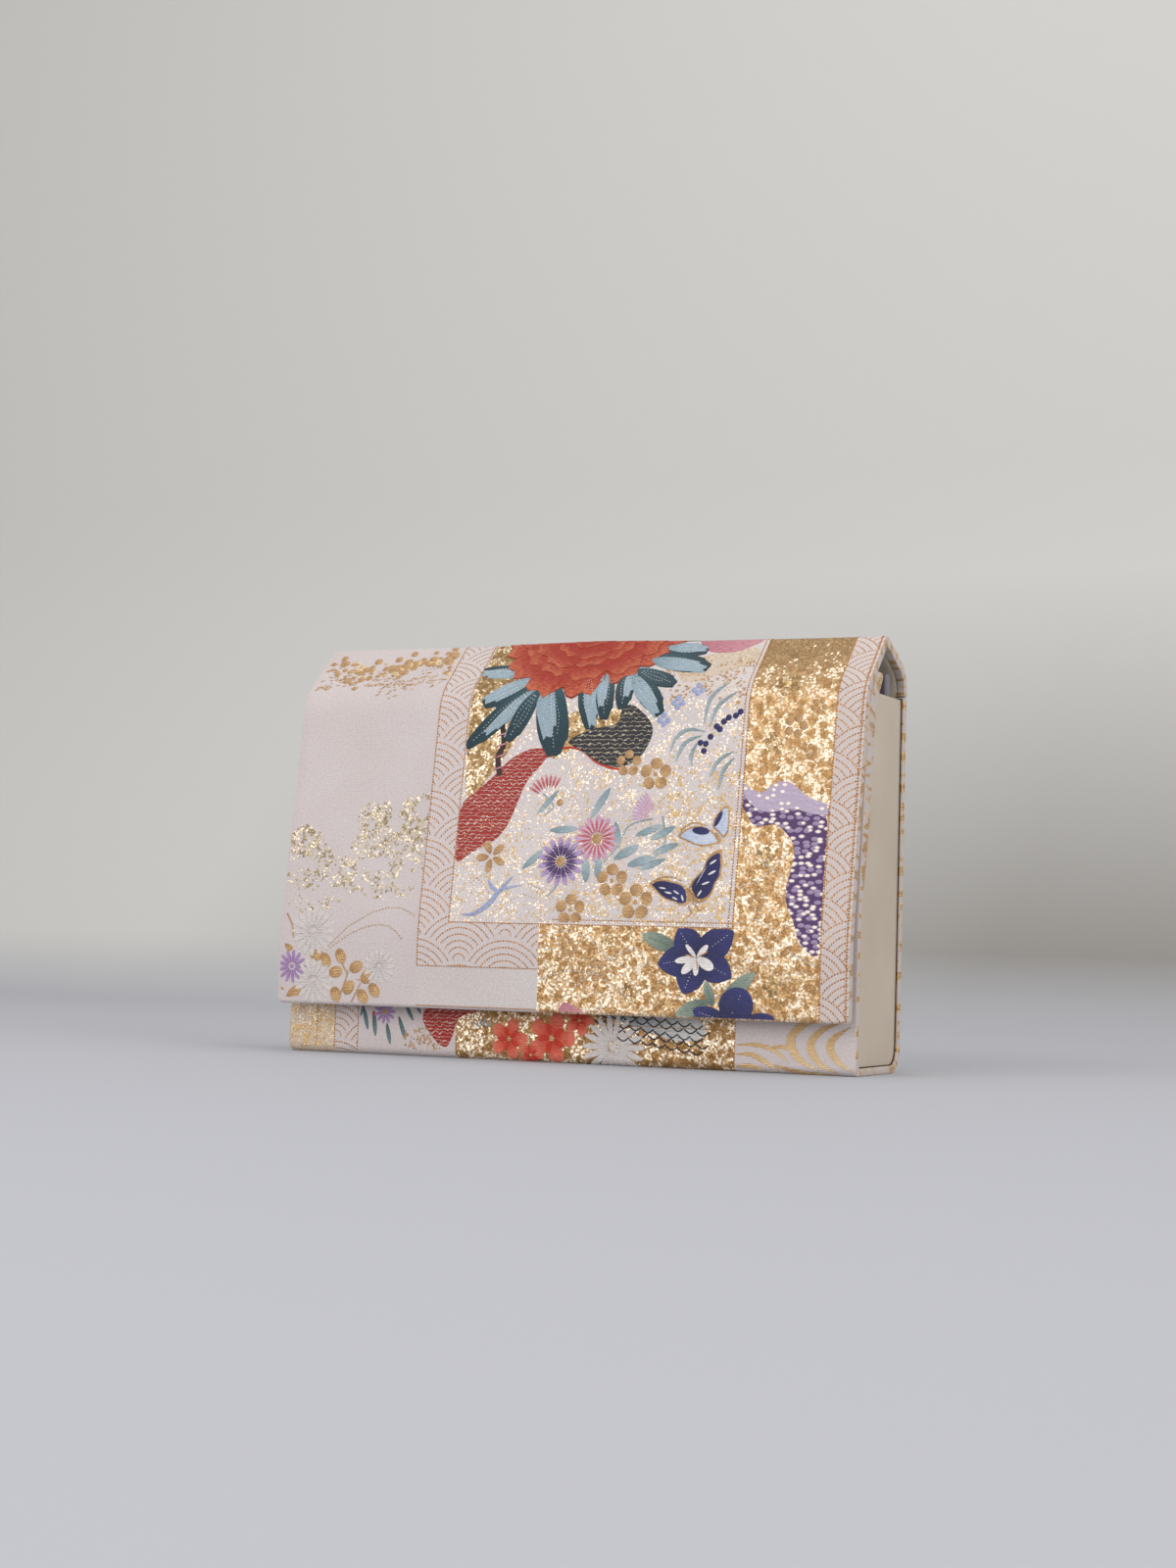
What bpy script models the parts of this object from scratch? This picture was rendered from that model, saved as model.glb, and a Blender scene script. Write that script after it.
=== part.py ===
# Formal brocade clutch bag: a board body wrapped in one cloth, soft side gussets,
# a padded divider, and a shaped flap that closes on a magnetic snap.
# Metres, +Z up, X along the width, the front faces -Y.
# Sections are drawn in the YZ plane, with y = 0 on the lower front face and z = 0 on the table.
import bpy
import bmesh
from math import acos, ceil, cos, pi, radians, sin, tan
from mathutils import Matrix, Vector

# Overall size
WIDTH = 0.250
DEPTH = 0.055
RIDGE_HEIGHT = 0.1728
RIDGE_BACK = 0.0275
RIDGE_RADIUS = 0.004

# Cloths, boards and the room between two pieces that touch
GAP = 0.0003
CLOTH = 0.0008
BOARD = 0.0016
LINING = 0.0008
EDGE_TURN = 0.0012

# Body section; a drop is measured down from the flap's ridge
FRONT_TOP_DROP = 0.0158
FRONT_TOP_BACK = 0.018
FRONT_BEND_DROP = 0.0298
FRONT_BEND_BACK = 0.008
FRONT_BEND_RADIUS = 0.025
FRONT_LEAN_HEIGHT = 0.058
FRONT_LEAN_RADIUS = 0.060
FRONT_FOOT_RADIUS = 0.0035
BACK_FOOT_RADIUS = 0.010
BACK_TOP_DROP = 0.02245
INNER_FOOT_RADIUS = 0.003
TOP_EDGE_RADIUS = 0.0018

# Pad behind the upper half of the front board; it starts a little above the front's lean
PAD = 0.005
PAD_FULL_DROP = 0.0728
PAD_START_RISE = 0.002
PAD_THIN_END = 0.007
PAD_BEND_RADIUS = 0.020

# Gussets
GUSSET = 0.0008
GUSSET_TOP_DROP = 0.0238
GUSSET_SEAM = 0.008

# Divider
DIVIDER = 0.0065
DIVIDER_TOP_DROP = 0.0148
DIVIDER_BACK = 0.0343
DIVIDER_CLOTH = 0.0006
DIVIDER_EDGE_RADIUS = 0.0012

# Slip pocket sewn on the back lining
POCKET_WIDTH = 0.150
POCKET_HEIGHT = 0.085
POCKET_FOOT = 0.030
POCKET_CORNER = 0.008

# Flap section
FLAP_REACH = 0.0098
FLAP_FOOT = 0.020
FLAP_STRAIGHT_TOP = 0.052
FLAP_STRAIGHT_RADIUS = 0.100
FLAP_BEND_BACK = 0.0043
FLAP_BEND_DROP = 0.0232
FLAP_BEND_RADIUS = 0.022
FLAP_SHOULDER_DROP = 0.0123
FLAP_SHOULDER_RADIUS = 0.013
FLAP_EDGE_RADIUS = 0.0015
FLAP_TURN_IN = 0.003
FLAP_CORNER_RADIUS = 0.002
SHOULDER_FREE = 0.011
RIDGE_FREE = 0.0035

# Magnetic snap
SNAP_HEIGHT = 0.0345
SNAP_RADIUS = 0.009
SNAP_RIM = 0.0006
STUD = 0.0022
STUD_PIN = 0.0012
STUD_PIN_RADIUS = 0.002
SOCKET_HOLE_RADIUS = 0.0033
SOCKET_HOLE = 0.0018
WASHER = 0.0006
WASHER_RADIUS = 0.0075
LEG_WIDTH = 0.002
LEG = 0.0005
LEG_SPACING = 0.0062
LEG_ROOTS = 0.00055

# Derived values
WALL = CLOTH + GAP + BOARD + GAP
FLAP_WALL = WALL + LINING
FRONT_TOP = RIDGE_HEIGHT - FRONT_TOP_DROP
FRONT_BEND_HEIGHT = RIDGE_HEIGHT - FRONT_BEND_DROP
BACK_TOP = RIDGE_HEIGHT - BACK_TOP_DROP
PAD_FULL_HEIGHT = RIDGE_HEIGHT - PAD_FULL_DROP
PAD_START_HEIGHT = FRONT_LEAN_HEIGHT + PAD_START_RISE
PAD_FOOT = PAD_START_HEIGHT + PAD_THIN_END
GUSSET_TOP = RIDGE_HEIGHT - GUSSET_TOP_DROP
DIVIDER_TOP = RIDGE_HEIGHT - DIVIDER_TOP_DROP
FLAP_BEND_HEIGHT = RIDGE_HEIGHT - FLAP_BEND_DROP
FLAP_SHOULDER_HEIGHT = RIDGE_HEIGHT - FLAP_SHOULDER_DROP
MID_Y = (DEPTH - FLAP_REACH) / 2
END = WIDTH / 2
GUSSET_END = END - EDGE_TURN - GAP
LINING_END = GUSSET_END - GUSSET_SEAM - GAP
DIVIDER_END = GUSSET_END - GUSSET - GAP
HINGE_HEIGHT = BACK_TOP + GAP / 2
SNAP_ROOM = FLAP_REACH - FLAP_WALL
SOCKET = SNAP_ROOM - STUD - 3 * GAP
ARC_STEP = radians(7.5)
ROUND_SIDES = 40


def clear_scene():
    for item in list(bpy.data.objects):
        bpy.data.objects.remove(item, do_unlink=True)


def make_material(name, colour, roughness, metallic=0.0):
    made = bpy.data.materials.new(name)
    made.use_nodes = True
    shader = made.node_tree.nodes["Principled BSDF"]
    shader.inputs["Base Color"].default_value = (*colour, 1.0)
    shader.inputs["Roughness"].default_value = roughness
    shader.inputs["Metallic"].default_value = metallic
    return made


# A section is a list of corners (y, z, fillet radius)
def turn(before, here, after):
    first = (Vector(here[:2]) - Vector(before[:2])).normalized()
    second = (Vector(after[:2]) - Vector(here[:2])).normalized()
    side = 1.0 if first.x * second.y - first.y * second.x >= 0 else -1.0
    return first, second, side, acos(max(-1.0, min(1.0, first.dot(second))))


def move_inward(corners, depth):
    """The same line, moved to the left of its own direction by depth."""
    moved = []
    for index, here in enumerate(corners):
        before = corners[max(index - 1, 0)]
        after = corners[min(index + 1, len(corners) - 1)]
        if index == 0:
            before = tuple(2 * Vector(here[:2]) - Vector(after[:2])) + (0.0,)
        if index == len(corners) - 1:
            after = tuple(2 * Vector(here[:2]) - Vector(before[:2])) + (0.0,)
        first, second, side, angle = turn(before, here, after)
        left = Vector((-first.y - second.y, first.x + second.x)).normalized()
        spot = Vector(here[:2]) + left * depth / cos(angle / 2)
        radius = max(here[2] - side * depth, GAP) if here[2] > 0 else 0.0
        moved.append((spot.x, spot.y, radius))
    return moved


def shorten(corners, start=0.0, end=0.0):
    """The line with a length cut off its first and last runs."""
    kept = list(corners)
    first = Vector(kept[1][:2]) - Vector(kept[0][:2])
    spot = Vector(kept[0][:2]) + first.normalized() * start
    kept[0] = (spot.x, spot.y, 0.0)
    last = Vector(kept[-2][:2]) - Vector(kept[-1][:2])
    spot = Vector(kept[-1][:2]) + last.normalized() * end
    kept[-1] = (spot.x, spot.y, 0.0)
    return kept


def stop_at_height(corners, height, ends=((0, 1), (-1, -2))):
    """The line with its first and last runs, or one of them, ended at the given height."""
    kept = list(corners)
    for place, neighbour in ends:
        y0, z0, _ = kept[place]
        y1, z1, _ = kept[neighbour]
        share = (height - z0) / (z1 - z0)
        kept[place] = (y0 + (y1 - y0) * share, height, 0.0)
    return kept


def closed_outline(corners):
    """Points round a closed section, with an arc at each corner that has a radius."""
    points = []
    count = len(corners)
    for index, here in enumerate(corners):
        before = corners[index - 1]
        after = corners[(index + 1) % count]
        first, second, side, angle = turn(before, here, after)
        radius = here[2]
        if radius <= 0 or angle < radians(0.5):
            points.append(tuple(here[:2]))
            continue
        reach = radius * tan(angle / 2)
        start = Vector(here[:2]) - first * reach
        centre = start + Vector((-first.y, first.x)) * radius * side
        steps = max(2, ceil(angle / ARC_STEP))
        for step in range(steps + 1):
            swing = side * angle * step / steps
            arm = start - centre
            spot = centre + Vector((arm.x * cos(swing) - arm.y * sin(swing),
                                    arm.x * sin(swing) + arm.y * cos(swing)))
            points.append((spot.x, spot.y))
    return points


def band(corners, near, far, start_radius=0.0, end_radius=0.0):
    """A closed section that follows the line between two depths."""
    outer = move_inward(corners, near)
    inner = move_inward(corners, far)
    outer[0] = (*outer[0][:2], start_radius)
    inner[0] = (*inner[0][:2], start_radius)
    outer[-1] = (*outer[-1][:2], end_radius)
    inner[-1] = (*inner[-1][:2], end_radius)
    return closed_outline(outer + inner[::-1])


def finish(bm, name, finish_material, pivot=None):
    bmesh.ops.recalc_face_normals(bm, faces=bm.faces[:])
    mesh = bpy.data.meshes.new(name)
    bm.to_mesh(mesh)
    bm.free()
    made = bpy.data.objects.new(name, mesh)
    bpy.context.collection.objects.link(made)
    if finish_material:
        mesh.materials.append(finish_material)
    if pivot:
        mesh.transform(Matrix.Translation(-pivot.location))
        made.parent = pivot
    return made


def prism(name, outline, x_from, x_to, finish_material=None, pivot=None):
    """A section pushed along X."""
    bm = bmesh.new()
    ring = [bm.verts.new((x_from, y - MID_Y, z)) for y, z in outline]
    face = bm.faces.new(ring)
    pushed = bmesh.ops.extrude_face_region(bm, geom=[face])
    moved = [item for item in pushed["geom"] if isinstance(item, bmesh.types.BMVert)]
    bmesh.ops.translate(bm, verts=moved, vec=(x_to - x_from, 0, 0))
    return finish(bm, name, finish_material, pivot)


def slab(name, outline, y_from, y_to, finish_material=None, pivot=None):
    """A front view outline (x, z) pushed along Y."""
    bm = bmesh.new()
    ring = [bm.verts.new((x, y_from - MID_Y, z)) for x, z in outline]
    face = bm.faces.new(ring)
    pushed = bmesh.ops.extrude_face_region(bm, geom=[face])
    moved = [item for item in pushed["geom"] if isinstance(item, bmesh.types.BMVert)]
    bmesh.ops.translate(bm, verts=moved, vec=(0, y_to - y_from, 0))
    return finish(bm, name, finish_material, pivot)


def lathe_y(name, profile, height, finish_material=None, pivot=None):
    """A turned piece on an axis along Y; the profile is a closed list of (radius, y)."""
    bm = bmesh.new()
    rings = []
    for radius, y in profile:
        if radius == 0:
            rings.append([bm.verts.new((0, y - MID_Y, height))])
            continue
        turns = [2 * pi * step / ROUND_SIDES for step in range(ROUND_SIDES)]
        ring = [(radius * cos(a), y - MID_Y, height + radius * sin(a)) for a in turns]
        rings.append([bm.verts.new(spot) for spot in ring])
    for one, two in zip(rings, rings[1:]):
        for step in range(ROUND_SIDES):
            following = (step + 1) % ROUND_SIDES
            corners = [one[step % len(one)], one[following % len(one)],
                       two[following % len(two)], two[step % len(two)]]
            unique = list(dict.fromkeys(corners))
            bm.faces.new(unique)
    made = finish(bm, name, finish_material, pivot)
    made.data.shade_smooth()
    made.data.set_sharp_from_angle(angle=radians(30))
    return made


def combine(made, other, operation):
    other.hide_render = True
    other.display_type = "WIRE"
    boolean = made.modifiers.new(other.name, "BOOLEAN")
    boolean.operation = operation
    boolean.solver = "EXACT"
    boolean.object = other


def cut(made, cutter):
    combine(made, cutter, "DIFFERENCE")


def snap_legs(name, y_from, y_to, room=0.0, pivot=None):
    """The two flat legs of a snap half, or with some room the slots that they pass through."""
    bm = bmesh.new()
    for side in (-1, 1):
        leg = bmesh.ops.create_cube(bm, size=1.0)["verts"]
        bmesh.ops.scale(bm, vec=(LEG + 2 * room, y_to - y_from, LEG_WIDTH + 2 * room), verts=leg)
        middle = (side * LEG_SPACING / 2, (y_from + y_to) / 2 - MID_Y, SNAP_HEIGHT)
        bmesh.ops.translate(bm, vec=middle, verts=leg)
    return finish(bm, name, None, pivot)


def make_pivot(name, y, z):
    pivot = bpy.data.objects.new(name, None)
    pivot.location = (0, y - MID_Y, z)
    bpy.context.collection.objects.link(pivot)
    return pivot


clear_scene()
brocade = make_material("brocade", (0.62, 0.54, 0.46), 0.55)
card = make_material("grey_board", (0.36, 0.34, 0.31), 0.9)
wadding = make_material("wadding", (0.78, 0.77, 0.74), 0.95)
cream = make_material("cream_lining", (0.45, 0.38, 0.30), 0.6)
leather = make_material("cream_leather", (0.44, 0.37, 0.32), 0.55)
grey_satin = make_material("grey_satin", (0.17, 0.15, 0.17), 0.5)
plate = make_material("pale_gold_plate", (0.66, 0.53, 0.30), 0.3, 1.0)

# Lines of the body section: the outer face, and the inner side of its boards and pad
outer_line = [
    (FRONT_TOP_BACK, FRONT_TOP, 0.0),
    (FRONT_BEND_BACK, FRONT_BEND_HEIGHT, FRONT_BEND_RADIUS),
    (0.0, FRONT_LEAN_HEIGHT, FRONT_LEAN_RADIUS),
    (0.0, 0.0, FRONT_FOOT_RADIUS),
    (DEPTH, 0.0, BACK_FOOT_RADIUS),
    (DEPTH, BACK_TOP, 0.0),
]
lean_share = (PAD_FULL_HEIGHT - FRONT_LEAN_HEIGHT) / (FRONT_BEND_HEIGHT - FRONT_LEAN_HEIGHT)
pad_full_back = FRONT_BEND_BACK * lean_share
inner_line = [
    (FRONT_TOP_BACK + WALL + PAD, FRONT_TOP, 0.0),
    (FRONT_BEND_BACK + WALL + PAD, FRONT_BEND_HEIGHT, FRONT_BEND_RADIUS - WALL),
    (pad_full_back + WALL + PAD, PAD_FULL_HEIGHT, PAD_BEND_RADIUS),
    (WALL, PAD_START_HEIGHT, PAD_BEND_RADIUS),
    (WALL, WALL, INNER_FOOT_RADIUS),
    (DEPTH - WALL, WALL, BACK_FOOT_RADIUS - WALL),
    (DEPTH - WALL, BACK_TOP, 0.0),
]


def top_rounded(corners):
    return [(corners[0][0], corners[0][1], TOP_EDGE_RADIUS)] + corners[1:]


# Brocade cover of the body: one cloth over front, base and back, turned in at its two ends
body_section = closed_outline(top_rounded(outer_line) + top_rounded(inner_line)[::-1])
outer_cover = prism("outer_cover", body_section, -END, END, brocade)


def between_tops(corners, front_top, back_top):
    kept = stop_at_height(corners, front_top, ends=((0, 1),))
    return stop_at_height(kept, back_top, ends=((-1, -2),))


pocket_outer = between_tops(move_inward(outer_line, CLOTH), FRONT_TOP - CLOTH, BACK_TOP - CLOTH)
pocket_inner = between_tops(move_inward(inner_line, WALL), FRONT_TOP - CLOTH, BACK_TOP - CLOTH)
pocket = prism("cover_pocket_cutter", closed_outline(pocket_outer + pocket_inner[::-1]),
               -END + EDGE_TURN, END - EDGE_TURN)
cut(outer_cover, pocket)

# Boards inside the cover
board_end = END - EDGE_TURN - GAP
front_face = outer_line[:3] + [(0.0, FRONT_FOOT_RADIUS, 0.0)]
front_board = prism("front_board", band(shorten(front_face, CLOTH + GAP), CLOTH + GAP, CLOTH + GAP + BOARD),
                    -board_end, board_end, card)
base_face = [(FRONT_FOOT_RADIUS, 0.0, 0.0), (DEPTH - BACK_FOOT_RADIUS, 0.0, 0.0)]
prism("base_board", band(base_face, CLOTH + GAP, CLOTH + GAP + BOARD), -board_end, board_end, card)
back_face = [(DEPTH, BACK_FOOT_RADIUS, 0.0), (DEPTH, BACK_TOP - CLOTH - GAP, 0.0)]
prism("back_board", band(back_face, CLOTH + GAP, CLOTH + GAP + BOARD), -board_end, board_end, card)

# Pad between the front board and the lining, which thickens the upper half of the front
pad_near = between_tops(move_inward(outer_line[:3], WALL), FRONT_TOP - CLOTH - GAP, PAD_FOOT)
pad_far = between_tops(inner_line[:4], FRONT_TOP - CLOTH - GAP, PAD_FOOT)
prism("front_pad", closed_outline(pad_near + pad_far[::-1]), -board_end, board_end, wadding)

# Lining glued over the boards between the two gusset seams
prism("inner_lining", band(inner_line, GAP, GAP + LINING), -LINING_END, LINING_END, cream)

# Gussets: shallow pans with a seam allowance that runs down the front, along the base and up the back
gusset_section = closed_outline(stop_at_height(move_inward(inner_line, GAP), GUSSET_TOP))
gusset_hollow = stop_at_height(move_inward(inner_line, GAP + GUSSET), GUSSET_TOP + GUSSET_SEAM)
for side, name in ((-1, "left_gusset"), (1, "right_gusset")):
    seam_edge = side * (GUSSET_END - GUSSET_SEAM)
    gusset = prism(name, gusset_section, seam_edge, side * GUSSET_END, leather)
    hollow = prism(name + "_cutter", closed_outline(gusset_hollow),
                   seam_edge - side * GUSSET_SEAM, side * (GUSSET_END - GUSSET))
    cut(gusset, hollow)

# Divider: a satin sleeve over a foam-faced core, standing on the base lining between the gussets
divider_foot = WALL + GAP + LINING + GAP


def upright(near, far, foot, top, radius):
    return closed_outline([(near, foot, 0.0), (far, foot, 0.0), (far, top, radius), (near, top, radius)])


divider = prism("divider_cover",
                upright(DIVIDER_BACK, DIVIDER_BACK + DIVIDER, divider_foot, DIVIDER_TOP, DIVIDER_EDGE_RADIUS),
                -DIVIDER_END, DIVIDER_END, grey_satin)
sleeve_room = upright(DIVIDER_BACK + DIVIDER_CLOTH, DIVIDER_BACK + DIVIDER - DIVIDER_CLOTH,
                      divider_foot - DIVIDER_CLOTH, DIVIDER_TOP - DIVIDER_CLOTH,
                      DIVIDER_EDGE_RADIUS - DIVIDER_CLOTH)
cut(divider, prism("divider_cutter", sleeve_room, -DIVIDER_END + DIVIDER_CLOTH, DIVIDER_END - DIVIDER_CLOTH))
core_room = DIVIDER_CLOTH + GAP
core_section = upright(DIVIDER_BACK + core_room, DIVIDER_BACK + DIVIDER - core_room,
                       divider_foot, DIVIDER_TOP - core_room, 0.0)
prism("divider_core", core_section, -DIVIDER_END + core_room, DIVIDER_END - core_room, wadding)

# Slip pocket on the back lining, stitched down its sides and along its foot
back_lining_face = DEPTH - WALL - GAP - LINING
pocket_corners = [
    (-POCKET_WIDTH / 2, POCKET_FOOT + POCKET_HEIGHT, 0.0),
    (-POCKET_WIDTH / 2, POCKET_FOOT, POCKET_CORNER),
    (POCKET_WIDTH / 2, POCKET_FOOT, POCKET_CORNER),
    (POCKET_WIDTH / 2, POCKET_FOOT + POCKET_HEIGHT, 0.0),
]
slab("slip_pocket", closed_outline(pocket_corners),
     back_lining_face - GAP - LINING, back_lining_face - GAP, cream)

# Snap socket on the front, and its washer let into the inner side of the front board
socket_front = -GAP - SOCKET
socket_profile = [
    (0, -GAP),
    (SNAP_RADIUS, -GAP),
    (SNAP_RADIUS, socket_front + SNAP_RIM),
    (SNAP_RADIUS - SNAP_RIM, socket_front),
    (SOCKET_HOLE_RADIUS, socket_front),
    (SOCKET_HOLE_RADIUS, socket_front + SOCKET_HOLE),
    (0, socket_front + SOCKET_HOLE),
]
snap_socket = lathe_y("snap_socket", socket_profile, SNAP_HEIGHT, plate)


def disc(radius, y_from, y_to):
    return [(0, y_from), (radius, y_from), (radius, y_to), (0, y_to)]


board_inner = CLOTH + GAP + BOARD
socket_washer = lathe_y("socket_washer", disc(WASHER_RADIUS, board_inner - WASHER, board_inner),
                        SNAP_HEIGHT, plate)
cut(front_board, lathe_y("front_board_cutter",
                         disc(WASHER_RADIUS + GAP, board_inner - WASHER - GAP, board_inner + BOARD),
                         SNAP_HEIGHT))
socket_back = -GAP - LEG_ROOTS
combine(snap_socket, snap_legs("socket_legs_joiner", socket_back, board_inner), "UNION")
for pierced in (outer_cover, front_board, socket_washer):
    slots = snap_legs(pierced.name + "_leg_cutter", -GAP, board_inner + GAP, GAP)
    cut(pierced, slots)

# Flap: a shaped tray of brocade with its edges turned in, two boards and a lining
flap_pivot = make_pivot("flap_pivot", DEPTH + GAP, HINGE_HEIGHT)
flap_line = [
    (DEPTH, HINGE_HEIGHT + GAP / 2, 0.0),
    (DEPTH, FLAP_SHOULDER_HEIGHT, FLAP_SHOULDER_RADIUS),
    (RIDGE_BACK, RIDGE_HEIGHT, RIDGE_RADIUS),
    (FLAP_BEND_BACK, FLAP_BEND_HEIGHT, FLAP_BEND_RADIUS),
    (-FLAP_REACH, FLAP_STRAIGHT_TOP, FLAP_STRAIGHT_RADIUS),
    (-FLAP_REACH, FLAP_FOOT, 0.0),
]
flap_cover = prism("flap_cover", band(flap_line, 0, FLAP_WALL, 0, FLAP_EDGE_RADIUS),
                   -END, END, brocade, flap_pivot)
board_room = band(shorten(flap_line, CLOTH, CLOTH), CLOTH, WALL)
cut(flap_cover, prism("flap_board_cutter", board_room, -END + CLOTH, END - CLOTH, pivot=flap_pivot))
lining_room = band(shorten(flap_line, CLOTH / 2, FLAP_TURN_IN), WALL - GAP, FLAP_WALL + LINING)
cut(flap_cover, prism("flap_lining_cutter", lining_room, -END + FLAP_TURN_IN, END - FLAP_TURN_IN,
                      pivot=flap_pivot))
flap_outline = closed_outline([
    (-END, FLAP_FOOT, FLAP_CORNER_RADIUS),
    (END, FLAP_FOOT, FLAP_CORNER_RADIUS),
    (END, RIDGE_HEIGHT + FLAP_WALL, 0.0),
    (-END, RIDGE_HEIGHT + FLAP_WALL, 0.0),
])
corner_trimmer = slab("flap_corner_trimmer", flap_outline, -FLAP_REACH - FLAP_WALL, DEPTH + FLAP_WALL,
                      pivot=flap_pivot)
combine(flap_cover, corner_trimmer, "INTERSECT")

flap_board_end = END - CLOTH - GAP
top_run = shorten(flap_line[1:3], SHOULDER_FREE, RIDGE_FREE)
prism("flap_top_board", band(top_run, CLOTH + GAP, CLOTH + GAP + BOARD),
      -flap_board_end, flap_board_end, card, flap_pivot)
front_run = shorten(flap_line[2:], RIDGE_FREE, CLOTH + GAP)
flap_front_board = prism("flap_front_board", band(front_run, CLOTH + GAP, CLOTH + GAP + BOARD),
                         -flap_board_end, flap_board_end, card, flap_pivot)
flap_lining_line = shorten(flap_line, CLOTH + GAP, FLAP_TURN_IN + GAP)
flap_lining_end = END - FLAP_TURN_IN - GAP
flap_lining = prism("flap_lining", band(flap_lining_line, WALL, FLAP_WALL),
                    -flap_lining_end, flap_lining_end, cream, flap_pivot)

# Snap stud on the flap lining, and its washer let into the outer side of the flap board
stud_back = -SNAP_ROOM + GAP
stud_front = stud_back + STUD
stud_profile = [
    (0, stud_back),
    (SNAP_RADIUS, stud_back),
    (SNAP_RADIUS, stud_front - SNAP_RIM),
    (SNAP_RADIUS - SNAP_RIM, stud_front),
    (STUD_PIN_RADIUS, stud_front),
    (STUD_PIN_RADIUS, stud_front + STUD_PIN),
    (0, stud_front + STUD_PIN),
]
snap_stud = lathe_y("snap_stud", stud_profile, SNAP_HEIGHT, plate, flap_pivot)
flap_board_outer = -FLAP_REACH + CLOTH + GAP
stud_washer = lathe_y("stud_washer", disc(WASHER_RADIUS, flap_board_outer, flap_board_outer + WASHER),
                      SNAP_HEIGHT, plate, flap_pivot)
washer_room = disc(WASHER_RADIUS + GAP, flap_board_outer - CLOTH, flap_board_outer + WASHER + GAP)
cut(flap_front_board, lathe_y("flap_front_board_cutter", washer_room, SNAP_HEIGHT, pivot=flap_pivot))
stud_legs = snap_legs("stud_legs_joiner", flap_board_outer, stud_back + LEG_ROOTS, 0.0, flap_pivot)
combine(snap_stud, stud_legs, "UNION")
for pierced in (flap_lining, flap_front_board, stud_washer):
    slots = snap_legs(pierced.name + "_leg_cutter", flap_board_outer - GAP, stud_back, GAP, flap_pivot)
    cut(pierced, slots)
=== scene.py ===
# Formal brocade clutch bag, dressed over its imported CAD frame.
# Cloth patterns are laid out in millimetres: u runs along the bag's width, v runs down the cloth.
import bpy
import bmesh
from math import acos, cos, pi, radians, sin, tan
from random import Random
from mathutils import Matrix, Vector, noise
import numpy as np


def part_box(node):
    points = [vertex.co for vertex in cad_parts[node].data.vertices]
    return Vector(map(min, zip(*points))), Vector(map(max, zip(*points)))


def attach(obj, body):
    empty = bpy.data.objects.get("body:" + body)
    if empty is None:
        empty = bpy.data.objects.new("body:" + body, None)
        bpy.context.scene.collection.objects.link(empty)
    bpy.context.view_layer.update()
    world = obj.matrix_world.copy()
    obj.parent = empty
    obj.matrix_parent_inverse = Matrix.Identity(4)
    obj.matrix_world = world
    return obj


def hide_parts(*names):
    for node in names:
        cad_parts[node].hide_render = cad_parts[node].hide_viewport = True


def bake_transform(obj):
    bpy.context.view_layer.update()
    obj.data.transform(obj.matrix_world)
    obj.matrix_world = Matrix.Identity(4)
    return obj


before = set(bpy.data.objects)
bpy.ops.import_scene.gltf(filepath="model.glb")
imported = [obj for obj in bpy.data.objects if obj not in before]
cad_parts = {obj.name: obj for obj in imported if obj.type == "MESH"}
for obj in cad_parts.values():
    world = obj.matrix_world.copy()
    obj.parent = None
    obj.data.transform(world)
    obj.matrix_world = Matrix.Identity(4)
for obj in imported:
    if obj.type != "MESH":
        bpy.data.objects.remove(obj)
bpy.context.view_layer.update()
mm = 0.001


# Colours are sRGB hex and become linear here
def fromHex(code):
    parts = [int(code[i:i + 2], 16) / 255 for i in (1, 3, 5)]
    return tuple(c / 12.92 if c <= 0.04045 else ((c + 0.055) / 1.055) ** 2.4 for c in parts) + (1.0,)


# Adds a shader node with its settings and links
def add(tree, kind, links=None, **settings):
    made = tree.nodes.new("ShaderNode" + kind)
    for name, value in settings.items():
        setattr(made, name, value)
    for socket, value in (links or {}).items():
        if isinstance(value, bpy.types.NodeSocket):
            tree.links.new(value, made.inputs[socket])
        else:
            made.inputs[socket].default_value = value
    return made


def startMaterial(name, roughness, metallic=0.0, **sockets):
    made = bpy.data.materials.new(name)
    made.use_nodes = True
    shader = made.node_tree.nodes["Principled BSDF"]
    shader.inputs["Roughness"].default_value = roughness
    shader.inputs["Metallic"].default_value = metallic
    for socket, value in sockets.items():
        shader.inputs[socket.replace("_", " ")].default_value = value
    return made, made.node_tree, shader


# Cloth coordinates in mm, whole and as separate u and v
def clothSpot(tree):
    spot = add(tree, "UVMap", uv_map="cloth").outputs[0]
    parts = add(tree, "SeparateXYZ", {0: spot})
    return spot, parts.outputs[0], parts.outputs[1]


# A sine rib across one coordinate; pitch in mm
def rib(tree, value, pitch):
    turned = add(tree, "Math", {0: value, 1: 2 * pi / pitch}, operation="MULTIPLY").outputs[0]
    return add(tree, "Math", {0: turned}, operation="SINE").outputs[0]


def mixColour(tree, share, one, two):
    return add(tree, "Mix", {0: share, 6: one, 7: two}, data_type="RGBA").outputs[2]


def between(tree, value, low, high, to=(0.0, 1.0)):
    links = {"Value": value, "From Min": low, "From Max": high, "To Min": to[0], "To Max": to[1]}
    return add(tree, "MapRange", links).outputs[0]


def raise_(tree, shader, height, distance, strength=1.0):
    bump = add(tree, "Bump", {"Height": height, "Distance": distance, "Strength": strength})
    tree.links.new(bump.outputs[0], shader.inputs["Normal"])
    return bump


groundLook = {
    "colour": "#cfc5c4", "shade": "#bdb0ad", "weftPitch": 0.7, "diaperPitch": 1.5,
    "fleckGold": "#b88c5c", "fleckGlint": "#f8ead0",
}


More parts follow.
